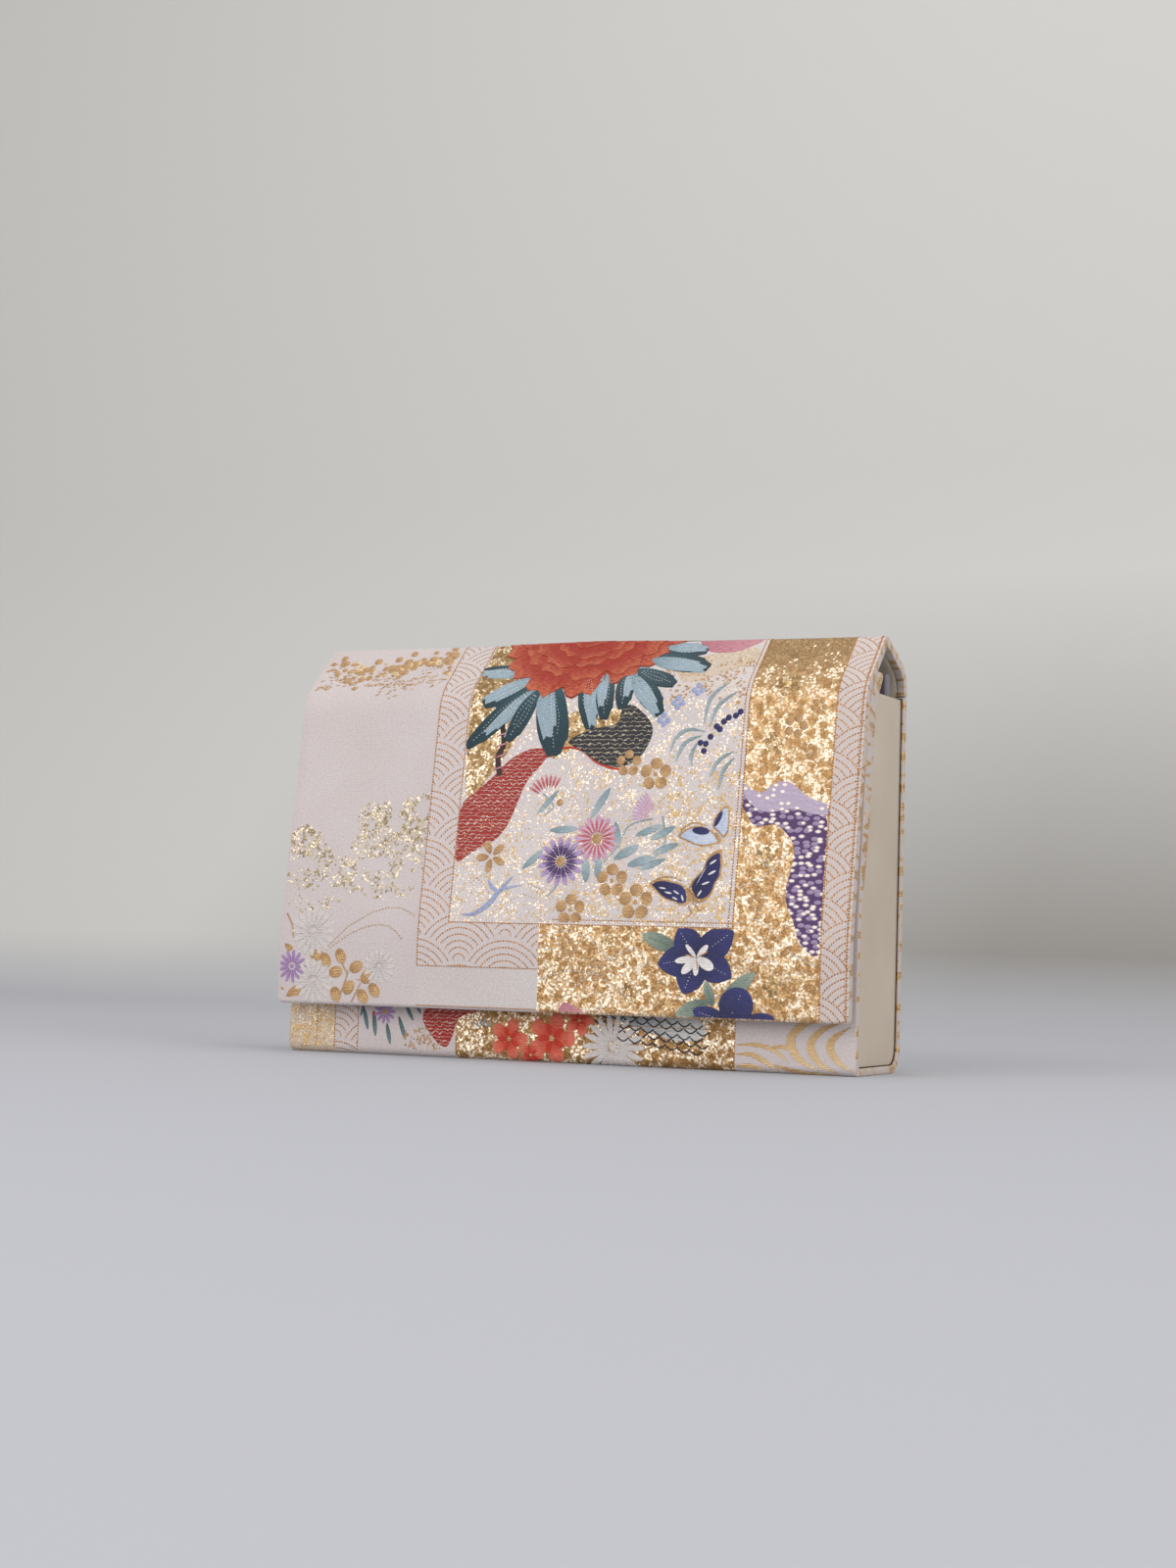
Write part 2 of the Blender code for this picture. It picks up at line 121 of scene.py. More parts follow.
# Silk satin ground: close weft ribs give a soft, even light with a faint sheen
def silkGround(name, colour=groundLook["colour"], diaper=0.0, flecks=0.0, fleckTint=None):
    made, tree, shader = startMaterial(name, 0.55, 0.0, Sheen_Weight=0.25, Sheen_Roughness=0.4)
    spot, u, v = clothSpot(tree)
    cloudy = add(tree, "TexNoise", {"Vector": spot, "Scale": 0.03, "Detail": 2.0}, noise_dimensions="2D").outputs[0]
    thread = add(tree, "TexNoise", {"Vector": spot, "Scale": 1.1, "Detail": 2.0}, noise_dimensions="2D").outputs[0]
    mixed = add(tree, "Math", {0: cloudy, 1: 0.35, 2: thread}, operation="MULTIPLY_ADD").outputs[0]
    share = between(tree, mixed, 0.3, 0.95)
    colours = mixColour(tree, share, fromHex(groundLook["shade"]), fromHex(colour))
    ribs = rib(tree, v, groundLook["weftPitch"])
    height = add(tree, "Math", {0: ribs, 1: thread}, operation="MULTIPLY").outputs[0]
    if diaper:
        slant = add(tree, "Math", {0: rib(tree, u, groundLook["diaperPitch"]),
                                   1: rib(tree, v, groundLook["diaperPitch"])}, operation="MULTIPLY").outputs[0]
        height = add(tree, "Math", {0: slant, 1: diaper, 2: height}, operation="MULTIPLY_ADD").outputs[0]
    raise_(tree, shader, height, 0.00006, 0.6)
    if flecks:
        # loose flecks of gold thread, thicker in clumps; their tone runs at random from gold to a near-white painted
        # glint
        cell = add(tree, "TexVoronoi", {"Vector": spot, "Scale": 1.25, "Randomness": 1.0}, voronoi_dimensions="2D")
        chance = add(tree, "SeparateColor", {0: cell.outputs["Color"]})
        clump = add(tree, "TexNoise", {"Vector": spot, "Scale": 0.11, "Detail": 2.0},
                    noise_dimensions="2D").outputs[0]
        wanted = between(tree, clump, 0.35, 0.75, (0.0, flecks))
        chosen = add(tree, "Math", {0: chance.outputs[0], 1: wanted}, operation="LESS_THAN").outputs[0]
        near = add(tree, "Math", {0: cell.outputs["Distance"], 1: 0.42}, operation="LESS_THAN").outputs[0]
        fleck = add(tree, "Math", {0: chosen, 1: near}, operation="MULTIPLY").outputs[0]
        tone = mixColour(tree, chance.outputs[1], fromHex(fleckTint or groundLook["fleckGold"]),
                         fromHex(groundLook["fleckGlint"]))
        colours = mixColour(tree, fleck, colours, tone)
        tree.links.new(between(tree, fleck, 0.0, 1.0, (0.0, 0.6)), shader.inputs["Metallic"])
        tree.links.new(between(tree, fleck, 0.0, 1.0, (0.55, 0.32)), shader.inputs["Roughness"])
    tree.links.new(colours, shader.inputs["Base Color"])
    return made


# Cloth turned round an edge: gold parts of the pattern cross it as short bars, 3 to 6 mm apart; their gold runs from
# dark brown to a pale painted sparkle
def turnedCloth(name, colour="#c9bcb4"):
    made, tree, shader = startMaterial(name, 0.5, 0.0, Sheen_Weight=0.2)
    spot, u, v = clothSpot(tree)
    bars = add(tree, "VectorMath", {0: spot, 1: (0.08, 0.24, 0.0)}, operation="MULTIPLY").outputs[0]
    bar = add(tree, "TexNoise", {"Vector": bars, "Scale": 1.0, "Detail": 1.5}, noise_dimensions="2D").outputs[0]
    thread = add(tree, "TexNoise", {"Vector": spot, "Scale": 1.6, "Detail": 1.0}, noise_dimensions="2D").outputs[0]
    mixed = add(tree, "Math", {0: thread, 1: 0.35, 2: bar}, operation="MULTIPLY_ADD").outputs[0]
    gold = between(tree, mixed, 0.705, 0.722)
    silk = mixColour(tree, thread, fromHex(groundLook["shade"]), fromHex(colour))
    goldAndSparkle = mixColour(tree, between(tree, thread, 0.35, 0.68), fromHex("#8a5829"), fromHex("#ecc98a"))
    tree.links.new(mixColour(tree, gold, silk, goldAndSparkle), shader.inputs["Base Color"])
    tree.links.new(between(tree, gold, 0, 1, (0.0, 0.55)), shader.inputs["Metallic"])
    raise_(tree, shader, mixed, 0.0001, 0.6)
    return made


# light is the foil's painted glint colour; dull is a painted shade colour for the foil near the flap's ridge
goldLook = {
    "deep": "#ae8452", "mid": "#d2ae7f", "light": "#fbe9d0", "paintedRidgeShade": "#977850", "grain": 1.3, "pebble": 0.21,
    "tilt": 0.5, "metallic": 0.45, "roughness": 0.38,
}


# Woven gold foil: matt twill pebbles among foil strips whose tilts differ, so they glint one by one; near-white painted
# glints are also mixed into the colour, grain by grain
def goldFoil(name, pebbles=goldLook["pebble"], deep=goldLook["deep"], mid=goldLook["mid"], paintedShadeAbove=None,
             glints=0.0):
    made, tree, shader = startMaterial(name, goldLook["roughness"], goldLook["metallic"])
    spot, u, v = clothSpot(tree)
    wander = add(tree, "TexNoise", {"Vector": spot, "Scale": 0.3, "Detail": 2.0}, noise_dimensions="2D")
    moved = add(tree, "VectorMath", {0: wander.outputs["Color"], 1: (4.5, 4.5, 0), 2: spot},
                operation="MULTIPLY_ADD").outputs[0]
    pebble = add(tree, "TexVoronoi", {"Vector": moved, "Scale": pebbles, "Randomness": 1.0}, voronoi_dimensions="2D")
    grain = add(tree, "TexVoronoi", {"Vector": spot, "Scale": goldLook["grain"], "Randomness": 1.0},
                voronoi_dimensions="2D")
    chance = add(tree, "SeparateColor", {0: grain.outputs["Color"]})
    kind = add(tree, "SeparateColor", {0: pebble.outputs["Color"]})
    kept = add(tree, "Math", {0: kind.outputs[0], 1: 0.78}, operation="LESS_THAN").outputs[0]
    heart = between(tree, pebble.outputs["Distance"], 0.26, 0.5, (1.0, 0.0))
    heart = add(tree, "Math", {0: heart, 1: kept}, operation="MULTIPLY").outputs[0]
    clump = add(tree, "TexNoise", {"Vector": spot, "Scale": 0.07, "Detail": 2.0}, noise_dimensions="2D").outputs[0]
    odds = between(tree, clump, 0.35, 0.65, (0.72 - glints, 0.44 - glints))
    odds = add(tree, "Math", {0: heart, 1: 0.6, 2: odds}, operation="MULTIPLY_ADD").outputs[0]
    flat = add(tree, "Math", {0: heart, 1: 0.8}, operation="MULTIPLY").outputs[0]
    tone = add(tree, "Math", {0: chance.outputs[1], 1: -0.45, 2: 1.0}, operation="MULTIPLY_ADD").outputs[0]
    tone = add(tree, "Math", {0: tone, 1: flat}, operation="SUBTRACT", use_clamp=True).outputs[0]
    base = mixColour(tree, tone, fromHex(deep), fromHex(mid))
    if paintedShadeAbove:
        # towards the ridge the foil is painted darker and with fewer painted glints: painted shade
        paintedRidgeShade = between(tree, v, paintedShadeAbove[0], paintedShadeAbove[1], (1.0, 0.0))
        odds = add(tree, "Math", {0: paintedRidgeShade, 1: 0.5, 2: odds}, operation="MULTIPLY_ADD").outputs[0]
        half = add(tree, "Math", {0: paintedRidgeShade, 1: 0.8}, operation="MULTIPLY").outputs[0]
        base = mixColour(tree, half, base, fromHex(goldLook["paintedRidgeShade"]))
    # grains past the odds take the painted glint colour
    paintedGlint = add(tree, "Math", {0: chance.outputs[0], 1: odds}, operation="GREATER_THAN").outputs[0]
    colours = mixColour(tree, paintedGlint, base, fromHex(goldLook["light"]))
    tree.links.new(colours, shader.inputs["Base Color"])
    away = add(tree, "VectorMath", {0: grain.outputs["Color"], 1: (0.5, 0.5, 0.5)}, operation="SUBTRACT").outputs[0]
    normal = add(tree, "NewGeometry").outputs["Normal"]
    tilted = add(tree, "VectorMath", {0: away, 1: (goldLook["tilt"],) * 3, 2: normal},
                 operation="MULTIPLY_ADD").outputs[0]
    unit = add(tree, "VectorMath", {0: tilted}, operation="NORMALIZE").outputs[0]
    bump = raise_(tree, shader, grain.outputs["Distance"], 0.00015, 0.5)
    tree.links.new(unit, bump.inputs["Normal"])
    return made


waveLook = {"radius": 20.5, "ringPitch": 2.65, "line": 0.62, "dotPitch": 1.25, "thread": "#9a602d", "light": "#d9a05a"}


# Wave scales drawn in dotted gold thread: each row of circles stands in front of the one above
def waveScales(name, ground=groundLook["colour"], radius=waveLook["radius"], shift=0.0):
    made, tree, shader = startMaterial(name, 0.55, 0.0, Sheen_Weight=0.2)
    spot, u, v = clothSpot(tree)
    row = radius / 2
    above = add(tree, "Math", {0: v, 1: row}, operation="DIVIDE").outputs[0]
    first = add(tree, "Math", {0: above}, operation="CEIL").outputs[0]
    chosen, turn = None, None
    for step in (0, 1, 2):
        index = add(tree, "Math", {0: first, 1: float(step)}, operation="ADD").outputs[0]
        odd = add(tree, "Math", {0: index, 1: 1.0}, operation="PINGPONG").outputs[0]
        moved = add(tree, "Math", {0: odd, 1: radius, 2: u}, operation="MULTIPLY_ADD").outputs[0]
        moved = add(tree, "Math", {0: moved, 1: shift}, operation="ADD").outputs[0]
        across = add(tree, "Math", {0: moved, 1: radius}, operation="PINGPONG").outputs[0]
        down = add(tree, "Math", {0: index, 1: above}, operation="SUBTRACT").outputs[0]
        down = add(tree, "Math", {0: down, 1: row}, operation="MULTIPLY").outputs[0]
        flat = add(tree, "CombineXYZ", {0: across, 1: down}).outputs[0]
        reach = add(tree, "VectorMath", {0: flat}, operation="LENGTH").outputs["Value"]
        angle = add(tree, "Math", {0: across, 1: down}, operation="ARCTAN2").outputs[0]
        if chosen is None:
            chosen, turn = reach, angle
            continue
        inside = add(tree, "Math", {0: reach, 1: radius}, operation="LESS_THAN").outputs[0]
        chosen = add(tree, "Mix", {0: inside, 2: chosen, 3: reach}, data_type="FLOAT").outputs[0]
        turn = add(tree, "Mix", {0: inside, 2: turn, 3: angle}, data_type="FLOAT").outputs[0]
    ring = add(tree, "Math", {0: chosen, 1: waveLook["ringPitch"] / 2}, operation="PINGPONG").outputs[0]
    line = add(tree, "Math", {0: ring, 1: waveLook["line"] / 2}, operation="LESS_THAN").outputs[0]
    along = add(tree, "Math", {0: chosen, 1: turn}, operation="MULTIPLY").outputs[0]
    dots = add(tree, "Math", {0: along, 1: waveLook["dotPitch"] / 2}, operation="PINGPONG").outputs[0]
    dotted = add(tree, "Math", {0: dots, 1: waveLook["dotPitch"] * 0.16}, operation="GREATER_THAN").outputs[0]
    thread = add(tree, "Math", {0: line, 1: dotted}, operation="MULTIPLY").outputs[0]
    fine = add(tree, "TexNoise", {"Vector": spot, "Scale": 1.2, "Detail": 2.0}, noise_dimensions="2D").outputs[0]
    cloth = mixColour(tree, between(tree, fine, 0.1, 0.7), fromHex(groundLook["shade"]), fromHex(ground))
    gold = mixColour(tree, between(tree, fine, 0.45, 0.66), fromHex(waveLook["thread"]), fromHex(waveLook["light"]))
    tree.links.new(mixColour(tree, thread, cloth, gold), shader.inputs["Base Color"])
    tree.links.new(between(tree, thread, 0, 1, (0.0, 0.4)), shader.inputs["Metallic"])
    raise_(tree, shader, thread, 0.00008, 0.7)
    return made


# Tied-dot cloud: short raised floats in staggered rows on a dense silk ground
def dottedSilk(name, colour, second, dash, pitch=(2.9, 1.25), size=(1.5, 0.5), cover=0.9):
    made, tree, shader = startMaterial(name, 0.5, 0.0, Sheen_Weight=0.05, Specular_IOR_Level=0.35)
    spot, u, v = clothSpot(tree)
    wander = add(tree, "TexNoise", {"Vector": spot, "Scale": 0.55, "Detail": 1.0}).outputs[0]
    bent = add(tree, "Math", {0: wander, 1: 2.4, 2: v}, operation="MULTIPLY_ADD").outputs[0]
    rows = add(tree, "Math", {0: bent, 1: pitch[1]}, operation="DIVIDE").outputs[0]
    row = add(tree, "Math", {0: rows}, operation="FLOOR").outputs[0]
    odd = add(tree, "Math", {0: row, 1: pitch[0] * 0.43, 2: u}, operation="MULTIPLY_ADD").outputs[0]
    ragged = add(tree, "TexNoise", {"Vector": spot, "Scale": 1.6, "Detail": 1.0}).outputs[0]
    odd = add(tree, "Math", {0: ragged, 1: 1.4, 2: odd}, operation="MULTIPLY_ADD").outputs[0]
    across = add(tree, "Math", {0: odd, 1: pitch[0] / 2}, operation="PINGPONG").outputs[0]
    inRow = add(tree, "Math", {0: rows, 1: 0.5}, operation="PINGPONG").outputs[0]
    long = add(tree, "Math", {0: across, 1: size[0] / 2}, operation="LESS_THAN").outputs[0]
    tall = add(tree, "Math", {0: inRow, 1: size[1] / pitch[1] / 2}, operation="LESS_THAN").outputs[0]
    both = add(tree, "Math", {0: long, 1: tall}, operation="MULTIPLY").outputs[0]
    kept = add(tree, "Math", {0: wander, 1: cover}, operation="LESS_THAN").outputs[0]
    float_ = add(tree, "Math", {0: both, 1: kept}, operation="MULTIPLY").outputs[0]
    silk = mixColour(tree, between(tree, ragged, 0.35, 0.65), fromHex(colour), fromHex(second))
    tree.links.new(mixColour(tree, float_, silk, fromHex(dash)), shader.inputs["Base Color"])
    raise_(tree, shader, float_, 0.00012, 0.8)
    return made


# Tied ovals: raised silk pebbles in loose rows, some of them with a painted glint at their middle
def tiedOvals(name, ground, oval, paintedGlint, pitch=(3.3, 1.9), glintShare=0.5, ovalSize=0.4):
    made, tree, shader = startMaterial(name, 0.5, 0.0, Sheen_Weight=0.05, Specular_IOR_Level=0.35)
    spot, u, v = clothSpot(tree)
    squashed = add(tree, "VectorMath", {0: spot, 1: (1 / pitch[0], 1 / pitch[1], 0)}, operation="MULTIPLY").outputs[0]
    cell = add(tree, "TexVoronoi", {"Vector": squashed, "Scale": 1.0, "Randomness": 0.9}, voronoi_dimensions="2D")
    chance = add(tree, "SeparateColor", {0: cell.outputs["Color"]})
    dome = between(tree, cell.outputs["Distance"], 0.05, ovalSize, (1.0, 0.0))
    onOval = add(tree, "Math", {0: cell.outputs["Distance"], 1: ovalSize}, operation="LESS_THAN").outputs[0]
    glintSpot = add(tree, "Math", {0: cell.outputs["Distance"], 1: ovalSize * 0.66}, operation="LESS_THAN").outputs[0]
    lucky = add(tree, "Math", {0: chance.outputs[0], 1: glintShare}, operation="LESS_THAN").outputs[0]
    glintSpot = add(tree, "Math", {0: glintSpot, 1: lucky}, operation="MULTIPLY").outputs[0]
    silk = mixColour(tree, onOval, fromHex(ground), fromHex(oval))
    tree.links.new(mixColour(tree, glintSpot, silk, fromHex(paintedGlint)), shader.inputs["Base Color"])
    raise_(tree, shader, dome, 0.0003, 0.8)
    return made


# Silk floats: long glossy threads lie side by side across the motif, root colour running into tip colour
def silkFloat(name, root, tip, low=0.35, high=0.7, metallic=0.0, threadPitch=0.62, roughness=0.42, ragged=0.45,
              twill=0.0):
    made, tree, shader = startMaterial(name, roughness, metallic, Sheen_Weight=0.05, Specular_IOR_Level=0.35)
    spot, u, v = clothSpot(tree)
    stitch = add(tree, "UVMap", uv_map="stitch").outputs[0]
    along = add(tree, "SeparateXYZ", {0: stitch}).outputs[0]
    streaks = add(tree, "VectorMath", {0: spot, 1: (0.45, 2.2, 1.0)}, operation="MULTIPLY").outputs[0]
    streak = add(tree, "TexNoise", {"Vector": streaks, "Scale": 1.0, "Detail": 2.0}).outputs[0]
    shifted = add(tree, "Math", {0: streak, 1: -0.5}, operation="ADD").outputs[0]
    place = add(tree, "Math", {0: shifted, 1: ragged * 2, 2: along}, operation="MULTIPLY_ADD").outputs[0]
    share = between(tree, place, low, high)
    colours = mixColour(tree, share, fromHex(root), fromHex(tip))
    value = between(tree, streak, 0.3, 0.7, (0.8, 1.2))
    if twill:
        slant = rib(tree, add(tree, "Math", {0: u, 1: v}, operation="SUBTRACT").outputs[0], 1.35)
        value = add(tree, "Math", {0: slant, 1: twill, 2: value}, operation="MULTIPLY_ADD").outputs[0]
    lit = add(tree, "HueSaturation", {"Value": value, "Color": colours})
    tree.links.new(lit.outputs[0], shader.inputs["Base Color"])
    height = add(tree, "Math", {0: rib(tree, v, threadPitch), 1: streak}, operation="MULTIPLY").outputs[0]
    raise_(tree, shader, height, 0.00014, 0.9)
    return made


# Smooth coated leather cloth: matt, with a fine pebble that only softens the light
def coatedLeather(name, colour, shade):
    made, tree, shader = startMaterial(name, 0.55, 0.0, Specular_IOR_Level=0.35)
    spot = add(tree, "TexCoord").outputs["Object"]
    tone = add(tree, "TexNoise", {"Vector": spot, "Scale": 22.0, "Detail": 4.0}).outputs[0]
    tree.links.new(mixColour(tree, between(tree, tone, 0.3, 0.7), fromHex(shade), fromHex(colour)),
                   shader.inputs["Base Color"])
    grain = add(tree, "TexVoronoi", {"Vector": spot, "Scale": 1700.0}, feature="F1").outputs["Distance"]
    raise_(tree, shader, grain, 0.00005, 0.35)
    return made


# Plain satin lining: a smooth face with a fine twill line
def liningSatin(name, colour, shade, pitch=0.0009):
    made, tree, shader = startMaterial(name, 0.42, 0.0, Sheen_Weight=0.3)
    spot = add(tree, "TexCoord").outputs["Object"]
    parts = add(tree, "SeparateXYZ", {0: spot})
    slant = add(tree, "Math", {0: parts.outputs[0], 1: parts.outputs[2]}, operation="ADD").outputs[0]
    line = rib(tree, slant, pitch)
    tone = add(tree, "TexNoise", {"Vector": spot, "Scale": 30.0, "Detail": 5.0}).outputs[0]
    tree.links.new(mixColour(tree, between(tree, tone, 0.3, 0.7), fromHex(shade), fromHex(colour)),
                   shader.inputs["Base Color"])
    raise_(tree, shader, line, 0.00003, 0.5)
    return made


def simpleFinish(name, colour, shade, roughness, scale, metallic=0.0, depth=0.00005):
    made, tree, shader = startMaterial(name, roughness, metallic)
    spot = add(tree, "TexCoord").outputs["Object"]
    tone = add(tree, "TexNoise", {"Vector": spot, "Scale": scale, "Detail": 4.0}).outputs[0]
    tree.links.new(mixColour(tree, between(tree, tone, 0.3, 0.7), fromHex(shade), fromHex(colour)),
                   shader.inputs["Base Color"])
    raise_(tree, shader, tone, depth, 0.4)
    return made


paleSatin = silkGround("paleSilkSatin")
diaperSilk = silkGround("diaperSilk", "#d2cbc8", diaper=0.8)
goldenGround = silkGround("goldFleckedSilk", "#d8d0cf", diaper=0.2, flecks=0.6)
richGround = silkGround("denseGoldFleckSilk", "#d2bda0", diaper=0.2, flecks=1.3)
# the band's top, towards the ridge, is painted darker as painted shade
goldBand = goldFoil("goldFoilBand", paintedShadeAbove=(12.0, 34.0))
goldGround = goldFoil("goldFoilGround", 0.24)
# the body's gold foil is painted darker than the flap's: painted shade from the flap above it
shadedBodyGold = goldFoil("goldFoilBodyPaintedShade", 0.24, "#99723f", "#bb966a")
# the back's gold foil is painted dark and nearly glint-free, carrying the painted shade of the flap's ridge on down the
# back
shadedBackGold = goldFoil("goldFoilBackPaintedShade", goldLook["pebble"], "#8c6f48", "#a68962", glints=-0.3)
dullGold = goldFoil("dullGoldFoil", 0.3, "#8f6e44", "#c4a676", glints=-0.12)
waveSilk = waveScales("waveScaleSilk")
waveSilkRight = waveScales("waveScaleSilkRight", "#cdc1bd", 19.0, 6.0)
dressEdge = turnedCloth("turnedEdgeSilk")
print("materials for the cloth grounds made")


# A section line in mm as (y, z, fillet radius) corners, front at -y; the same corners as the CAD source
midY = 22.6
flapCorners = [(55, 150.65, 0), (55, 160.5, 13), (27.5, 172.8, 4), (4.3, 149.6, 22), (-9.8, 52, 100), (-9.8, 20, 0)]
bodyCorners = [(18, 157, 0), (8, 143, 25), (0, 58, 60), (0, 0, 3.5), (55, 0, 10), (55, 150.35, 0)]


class ClothLine:
    # Follows a section with arcs at its corners and knows length, place and outward direction along it
    def __init__(self, corners, start=None):
        points = []
        for index, here in enumerate(corners):
            spot = Vector(here[:2])
            if here[2] == 0:
                points.append(spot)
                continue
            first = (spot - Vector(corners[index - 1][:2])).normalized()
            second = (Vector(corners[index + 1][:2]) - spot).normalized()
            side = 1.0 if first.x * second.y - first.y * second.x >= 0 else -1.0
            angle = acos(max(-1.0, min(1.0, first.dot(second))))
            begin = spot - first * here[2] * tan(angle / 2)
            centre = begin + Vector((-first.y, first.x)) * here[2] * side
            steps = max(2, int(angle / radians(3)))
            for step in range(steps + 1):
                arm = begin - centre
                arm.rotate(Matrix.Rotation(side * angle * step / steps, 2))
                points.append(centre + arm)
        self.points = np.array([tuple(p) for p in points])
        runs = np.diff(self.points, axis=0)
        lengths = np.hypot(runs[:, 0], runs[:, 1])
        self.lengths = np.concatenate([[0], np.cumsum(lengths)])
        out = np.stack([runs[:, 1], -runs[:, 0]], 1) / lengths[:, None]
        mean = np.vstack([out[:1], out[:-1] + out[1:], out[-1:]])
        self.out = mean / np.linalg.norm(mean, axis=1)[:, None]
        if start == "top":
            self.lengths -= self.lengths[np.argmax(self.points[:, 1])]

    def at(self, v):
        place = [np.interp(v, self.lengths, self.points[:, k]) for k in (0, 1)]
        out = np.array([np.interp(v, self.lengths, self.out[:, k]) for k in (0, 1)])
        return np.array(place), out / np.linalg.norm(out, axis=0)

    # v along the line and depth inwards for many (y, z) points
    def nearest(self, spots):
        one, two = self.points[:-1], self.points[1:]
        run = two - one
        share = ((spots[:, None] - one) * run).sum(2) / (run ** 2).sum(1)
        share = np.clip(share, 0, 1)
        foot = one + run * share[..., None]
        gap = np.linalg.norm(spots[:, None] - foot, axis=2)
        best = gap.argmin(1)
        rows = np.arange(len(spots))
        v = self.lengths[best] + share[rows, best] * (self.lengths[best + 1] - self.lengths[best])
        return v, gap[rows, best]


flapLine = ClothLine(flapCorners, "top")
bodyLine = ClothLine(bodyCorners)
flapFoot, flapHinge = flapLine.lengths[-1], flapLine.lengths[0]
halfWidth = 125.0
softness = {"ripple": 0.16, "wave": 42.0}


# The cloth is never quite flat: a slow ripple, fading out at the hinge
def ripple(u, v):
    fade = min(1.0, max(0.0, (v - flapHinge) / 12))
    wave = softness["wave"]
    return softness["ripple"] * fade * (noise.noise(Vector((u / wave, v / wave, 3.1))) * 2)


def onCloth(line, u, v, lift):
    spot, out = line.at(v)
    high = lift + (ripple(u, v) if line is flapLine else 0.0)
    y, z = spot + out * high
    return Vector((u, y - midY, z)) * mm


def finishPiece(bm, name, body, materials, smooth=radians(35)):
    mesh = bpy.data.meshes.new(name)
    bm.to_mesh(mesh)
    bm.free()
    made = bpy.data.objects.new(name, mesh)
    bpy.context.scene.collection.objects.link(made)
    for material in materials:
        mesh.materials.append(material)
    mesh.shade_smooth()
    mesh.set_sharp_from_angle(angle=smooth)
    if body:
        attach(made, body)
    return made


# A copy of a CAD node with its triangles merged into plain faces again, ready to be softened
def copyNode(node):
    bm = bmesh.new()
    bm.from_mesh(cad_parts[node].data)
    for layer in list(bm.loops.layers.uv):
        bm.loops.layers.uv.remove(layer)
    bmesh.ops.remove_doubles(bm, verts=bm.verts[:], dist=1e-6)
    bmesh.ops.dissolve_limit(bm, angle_limit=radians(0.6), verts=bm.verts[:], edges=bm.edges[:])
    return bm


def sliceAt(bm, axis, places, direction=None):
    for place in places:
        normal = Vector((0, 0, 0))
        normal[axis] = 1
        geometry = bm.verts[:] + bm.edges[:] + bm.faces[:]
        bmesh.ops.bisect_plane(bm, geom=geometry, plane_co=normal * place, plane_no=normal, dist=1e-7)


def roundEdges(bm, edges, width, segments=3):
    bmesh.ops.bevel(bm, geom=edges, offset=width, offset_type="OFFSET", affect="EDGES", segments=segments,
                    profile=0.5, material=-1, clamp_overlap=True)


def outerEdges(bm, reach, least=radians(40)):
    return [e for e in bm.edges if len(e.link_faces) == 2 and e.is_convex
            and e.calc_face_angle() > least and all(abs(v.co.x) > reach for v in e.verts)]


# Gives a cover its cloth coordinates and picks each face's field of the pattern
def layCloth(bm, line, fields, thickness):
    cloth = bm.loops.layers.uv.new("cloth")
    bm.verts.ensure_lookup_table()
    flat = np.array([(v.co.y / mm + midY, v.co.z / mm) for v in bm.verts])
    along, depth = line.nearest(flat)
    for index, vert in enumerate(bm.verts):
        vert.index = index
    for face in bm.faces:
        for loop in face.loops:
            index = loop.vert.index
            u = loop.vert.co.x / mm
            if abs(face.normal.x) > 0.5:
                u += (depth[index] if u > 0 else -depth[index])
            loop[cloth].uv = (u, along[index])
        middle = face.calc_center_median()
        v = sum(along[l.vert.index] for l in face.loops) / len(face.loops)
        deep = sum(depth[l.vert.index] for l in face.loops) / len(face.loops)
        face.material_index = fields(middle.x / mm, v, deep, face.normal)
    return along, depth


# Flap cloth
flapLook = {
    "leftLine": -60.0, "panelLeft": -46.3, "panelRight": 77.0, "bandRight": 113.2, "panelFoot": 128.0,
    "legFoot": 146.0, "legEnd": -5.5, "edgeRound": 0.7,
}


def flapField(u, v, deep, normal):
    look = flapLook
    if deep > 1.2 or abs(normal.x) > 0.7:
        return 7
    if u < look["leftLine"]:
        return 0
    if u > look["bandRight"]:
        return 5
    if u > look["panelRight"]:
        return 4
    if v > look["panelFoot"] and u > look["legEnd"]:
        return 6
    if v > look["legFoot"]:
        return 1
    if v > look["panelFoot"] or u < look["panelLeft"]:
        return 2
    return 3


flapMaterials = [paleSatin, diaperSilk, waveSilk, goldenGround, goldBand, waveSilkRight, goldGround, dressEdge]


def dressFlap():
    look = flapLook
    bm = copyNode("flap_cover")
    roundEdges(bm, outerEdges(bm, 0.1215), look["edgeRound"] * mm)
    lines = [look[k] for k in ("leftLine", "panelLeft", "panelRight", "bandRight", "legEnd")]
    sliceAt(bm, 0, [u * mm for u in lines + [x for x in range(-120, 121, 8)]])
    levels = [flapLine.at(v)[0][1] for v in (look["panelFoot"], look["legFoot"])]
    sliceAt(bm, 2, [z * mm for z in levels + [x for x in range(24, 172, 6)]])
    along, depth = layCloth(bm, flapLine, flapField, 3.8)
    for index, vert in enumerate(bm.verts):
        u = vert.co.x / mm
        spot, out = flapLine.at(along[index])
        high = ripple(u, along[index]) * mm
        vert.co.y += out[0] * high
        vert.co.z += out[1] * high
    made = finishPiece(bm, "flapCloth", "flap", flapMaterials)
    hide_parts("flap_cover")
    return made


# Body cloth: the same pattern bands run down the front, under the base and up the back
bodyLook = {"speckledTo": -103.0, "wavesTo": -92.0, "goldFrom": -46.3, "goldTo": 75.5, "edgeRound": 0.7,
            "backFrom": 181.0}


